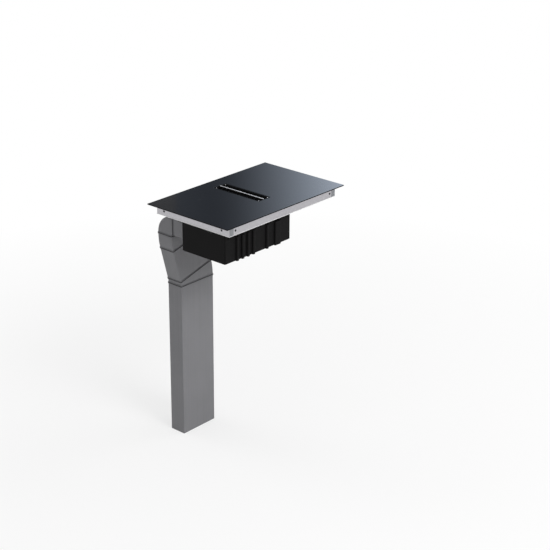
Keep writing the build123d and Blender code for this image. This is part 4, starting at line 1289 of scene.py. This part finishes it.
@dataclass
class FlatDuct(Assembly):
    """The bands over the duct's joints, each with a dark lip seal.

    A band and a lip give their length along the duct and how far they stand proud, and their
    edges' round is a share of that.
    """

    band: Pair = (10.0 * MM, 2.2 * MM)
    lip: Pair = (3.4 * MM, 2.9 * MM)
    edge_round: float = 0.3
    corner: float = 3.0 * MM
    lean: float = radians(15.0)

    def make(self) -> None:
        """Grow a band and a lip over each of the five joints."""
        stub_low, stub_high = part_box("duct_stub")
        low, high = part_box("duct_drop")
        skew_low, skew_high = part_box("duct_offset")
        width, depth = high.x - low.x, high.y - low.y
        back = (low.y + high.y) / 2
        out = (stub_low.x + stub_high.x) / 2
        run = (skew_high.z - skew_low.z - width * sin(self.lean)) / cos(self.lean)
        half = Vector((-sin(self.lean), 0.0, cos(self.lean))) * (run / 2)
        middle = (Vector(skew_low) + Vector(skew_high)) / 2
        joints = {"outlet": ((pi / 2, 0.0, 0.0),
                             [(out, stub_high.y, (stub_low.z + stub_high.z) / 2)]),
                  "level": (ORIGIN, [(out, back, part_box("duct_elbow")[0].z),
                                     ((low.x + high.x) / 2, back, high.z)]),
                  "leaning": ((0.0, -self.lean, 0.0), [tuple(middle + half), tuple(middle - half)])}
        for kind, size, finish in (("band", self.band, "ring_plastic"),
                                   ("lip", self.lip, "seal_rubber")):
            tree = self.sleeve(width, depth, *size)
            for name, (angle, spots) in joints.items():
                self.plant(tree, f"{name}_{kind}", finish, spots, "duct_rings",
                           slot="ring_plastic", Turn=angle)

    def sleeve(self, across: float, along: float, tall: float, thick: float) -> Grower:
        """The tree of one closed sleeve round the duct's outline.

        Args:
            across: the duct's width.
            along: the duct's depth.
            tall: the sleeve's length along the duct.
            thick: how far it stands proud.

        Returns:
            The tree.
        """
        tree = Grower("duct_sleeve")
        width, depth, corner, length, proud = tree.sizes(
            Width=across, Depth=along, Corner=self.corner, Length=tall, Proud=thick)
        path = tree.rectangle(width + proud, depth + proud, corner + proud * 0.5, steps=6)
        tree.close(tree.swept(path, tree.rectangle(proud, length, proud * self.edge_round)))
        return tree


@dataclass
class CarriedOver(Assembly):
    """The nodes whose shape stays, each with the finish of its slot."""

    coil_names: tuple[str, ...] = ("coil_front_left", "coil_rear_left", "coil_front_right",
                                   "coil_rear_right")

    def make(self) -> None:
        """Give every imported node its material, and each coil rings about its own centre."""
        slots = {row["node"]: row["material_slot"] for row in frame["record"]["subparts"]}
        for name, node in frame["nodes"].items():
            self.dress(node, self.palette[slots[name]])
        for name in self.coil_names:
            wound = Winding(f"winding_{name}", COPPER, COPPER_GLOSS, centre(name))
            self.dress(frame["nodes"][name], wound.build())
        log.info("%d nodes dressed", len(frame["nodes"]))

    @staticmethod
    def dress(node: Object, material: Material) -> None:
        """Set one material on all of a node's slots.

        Args:
            node: the node's object.
            material: the material.
        """
        if not node.material_slots:
            node.data.materials.append(material)
        for slot in node.material_slots:
            slot.material = material


# ---------- studio


@dataclass
class Studio:
    """The floor, the lights, the reflected card and the camera.

    The camera's place and angles are those of the photograph. A fade is where a change starts
    and where it ends, and a lamp's row gives its name, place and power.
    """

    spot: Point = (-4.989834, -4.551990, 2.413228)
    heading: float = 0.851113
    pitch: float = 0.396226
    roll: float = 0.006497
    lens: float = 98.182
    sensor: float = 36.0
    sky_fade: Pair = (0.06, 0.30)
    sky_drop: float = 0.84
    sky_soft: float = 0.5
    floor_level: float = -1.2300
    floor_reach: float = 60.0
    floor_colour: Colour = (0.86, 0.86, 0.86)
    floor_fade: Pair = (0.9, 3.4)
    floor_glow: Pair = (0.6, 0.4)
    floor_gloss: Pair = (0.88, 0.26)
    card_colour: Colour = (0.75, 0.85, 1.0)
    card_away: float = 1.5
    card_span: Pair = (-0.45, 1.8)
    card_rise: Pair = (0.02, 1.9)
    card_fade: Pair = (-0.28, 0.55)
    card_edge: Pair = (-0.45, -0.10)
    card_glow: Point = (0.16, 0.08, 2.4)
    aim: Point = (0.0, 0.0, -0.3)
    lamp_size: float = 3.0
    lamp_rows: tuple[tuple[str, Point, float], ...] = (
        ("key", (-0.6, -4.8, 3.4), 190.0), ("fill", (3.8, -1.6, 3.0), 50.0),
        ("back", (-1.0, 4.5, 4.0), 60.0))

    def make(self) -> None:
        """Build the whole studio."""
        bpy.context.scene.view_settings.view_transform = "Standard"
        self.world()
        self.floor()
        self.card()
        self.lamps()
        self.camera()

    def level_basis(self) -> tuple[Vector, Vector]:
        """The camera's level directions: to its right and ahead."""
        return (Vector((cos(self.heading), -sin(self.heading), 0.0)),
                Vector((sin(self.heading), cos(self.heading), 0.0)))

    def camera(self) -> None:
        """The camera at the photograph's place and angle."""
        data = bpy.data.cameras.new("camera")
        data.lens, data.sensor_width, data.sensor_fit = self.lens, self.sensor, "HORIZONTAL"
        data.clip_start, data.clip_end = 0.1, 200.0
        eye = bpy.data.objects.new("camera", data)
        right, ahead = self.level_basis()
        ahead = cos(self.pitch) * ahead - sin(self.pitch) * Vector((0.0, 0.0, 1.0))
        up = right.cross(ahead)
        rows = (cos(self.roll) * right + sin(self.roll) * up,
                -sin(self.roll) * right + cos(self.roll) * up, -ahead)
        turn = Matrix(rows).transposed().to_4x4()
        eye.matrix_world = Matrix.Translation(Vector(self.spot)) @ turn
        bpy.context.scene.collection.objects.link(eye)
        bpy.context.scene.camera = eye

    def world(self) -> None:
        """White to the camera, soft light on the part, and a dim ceiling in its gloss."""
        world = bpy.data.worlds.new("studio")
        world.use_nodes = True
        world.node_tree.nodes.clear()
        graph = Graph(world.node_tree)
        seen, gloss = graph.ray("Camera"), graph.ray("Glossy")
        height = graph.part(graph.node("ShaderNodeTexCoord", output="Generated"), "Z")
        sky = 1.0 - height.ramp(*self.sky_fade) * self.sky_drop
        level = gloss * sky + (1.0 - gloss) * self.sky_soft
        graph.end("ShaderNodeOutputWorld", graph.node("ShaderNodeBackground", {}, {
            "Color": WHITE, "Strength": seen + (1.0 - seen) * level}))
        bpy.context.scene.world = world

    @staticmethod
    def sheet(name: str, corners: Sequence[Point], material: Material) -> Object:
        """A flat staged sheet.

        Args:
            name: its name.
            corners: its four corners.
            material: its material.

        Returns:
            The sheet.
        """
        mesh = bpy.data.meshes.new(name)
        mesh.from_pydata([tuple(c) for c in corners], [], [tuple(range(len(corners)))])
        mesh.materials.append(material)
        thing = bpy.data.objects.new(name, mesh)
        bpy.context.scene.collection.objects.link(thing)
        return thing

    def floor(self) -> None:
        """A plain pale floor that keeps the part's shadow and can't be seen from below."""
        shader = Shader("pale_floor")
        seen, gloss = shader.ray("Camera"), shader.ray("Glossy")
        matte = shader.node("ShaderNodeBsdfDiffuse", {}, {"Color": self.floor_colour}, "BSDF")
        base, rise = self.floor_glow
        reflected, dim = self.floor_gloss
        far = shader.vector("LENGTH", shader.place()).ramp(*self.floor_fade)
        share = seen * (far * rise + base) + gloss * reflected
        top = shader.node("ShaderNodeMixShader", {}, {
            0: share, 1: matte, 2: shader.glow(WHITE, 1.0 - gloss * dim)})
        under = shader.node("ShaderNodeNewGeometry", output="Backfacing")
        clear = shader.node("ShaderNodeBsdfTransparent", {}, {}, "BSDF")
        shader.close(shader.node("ShaderNodeMixShader", {}, {0: under, 1: top, 2: clear}))
        r, z = self.floor_reach, self.floor_level
        self.sheet("floor", [(-r, -r, z), (r, -r, z), (r, r, z), (-r, r, z)], shader.material)

    def card(self) -> None:
        """A soft card behind the part, seen only in its gloss, brighter to the right."""
        shader = Shader("soft_card")
        right, ahead = self.level_basis()
        across = shader.vector("DOT_PRODUCT", shader.place(), tuple(right))
        rise = across.ramp(*self.card_fade)
        least, dip, most = self.card_glow
        base = least - across.ramp(*self.card_edge) * dip
        shader.close(shader.glow(self.card_colour, base + rise * rise * most))
        (left, far), (foot, top) = self.card_span, self.card_rise
        card = self.sheet("soft_card", [
            ahead * self.card_away + right * side + Vector((0.0, 0.0, z))
            for side, z in ((left, foot), (far, foot), (far, top), (left, top))], shader.material)
        card.visible_camera = card.visible_diffuse = False
        card.visible_shadow = card.visible_transmission = False

    def lamps(self) -> None:
        """A large soft key from the front left, a weak fill from the right and one behind."""
        for name, spot, power in self.lamp_rows:
            data = bpy.data.lights.new(name, "AREA")
            data.shape, data.size, data.energy = "DISK", self.lamp_size, power
            lamp = bpy.data.objects.new(name, data)
            lamp.location = spot
            aim = Vector(self.aim) - Vector(spot)
            lamp.rotation_euler = aim.to_track_quat("-Z", "Y").to_euler()
            lamp.visible_glossy = False
            bpy.context.scene.collection.objects.link(lamp)


def main() -> None:
    """Build every sub-assembly in order and report each piece."""
    logging.basicConfig(level=logging.INFO, format="%(name)s: %(message)s")
    palette = Palette(FINISHES)
    for kind in (CarriedOver, GlassTop, IntakeGrille, GreaseFilter, SteelTray, FanHousing,
                 FlatDuct):
        log.info("%s", kind.__name__)
        kind(palette).make()
    Studio().make()


if __name__ == "__main__":
    main()
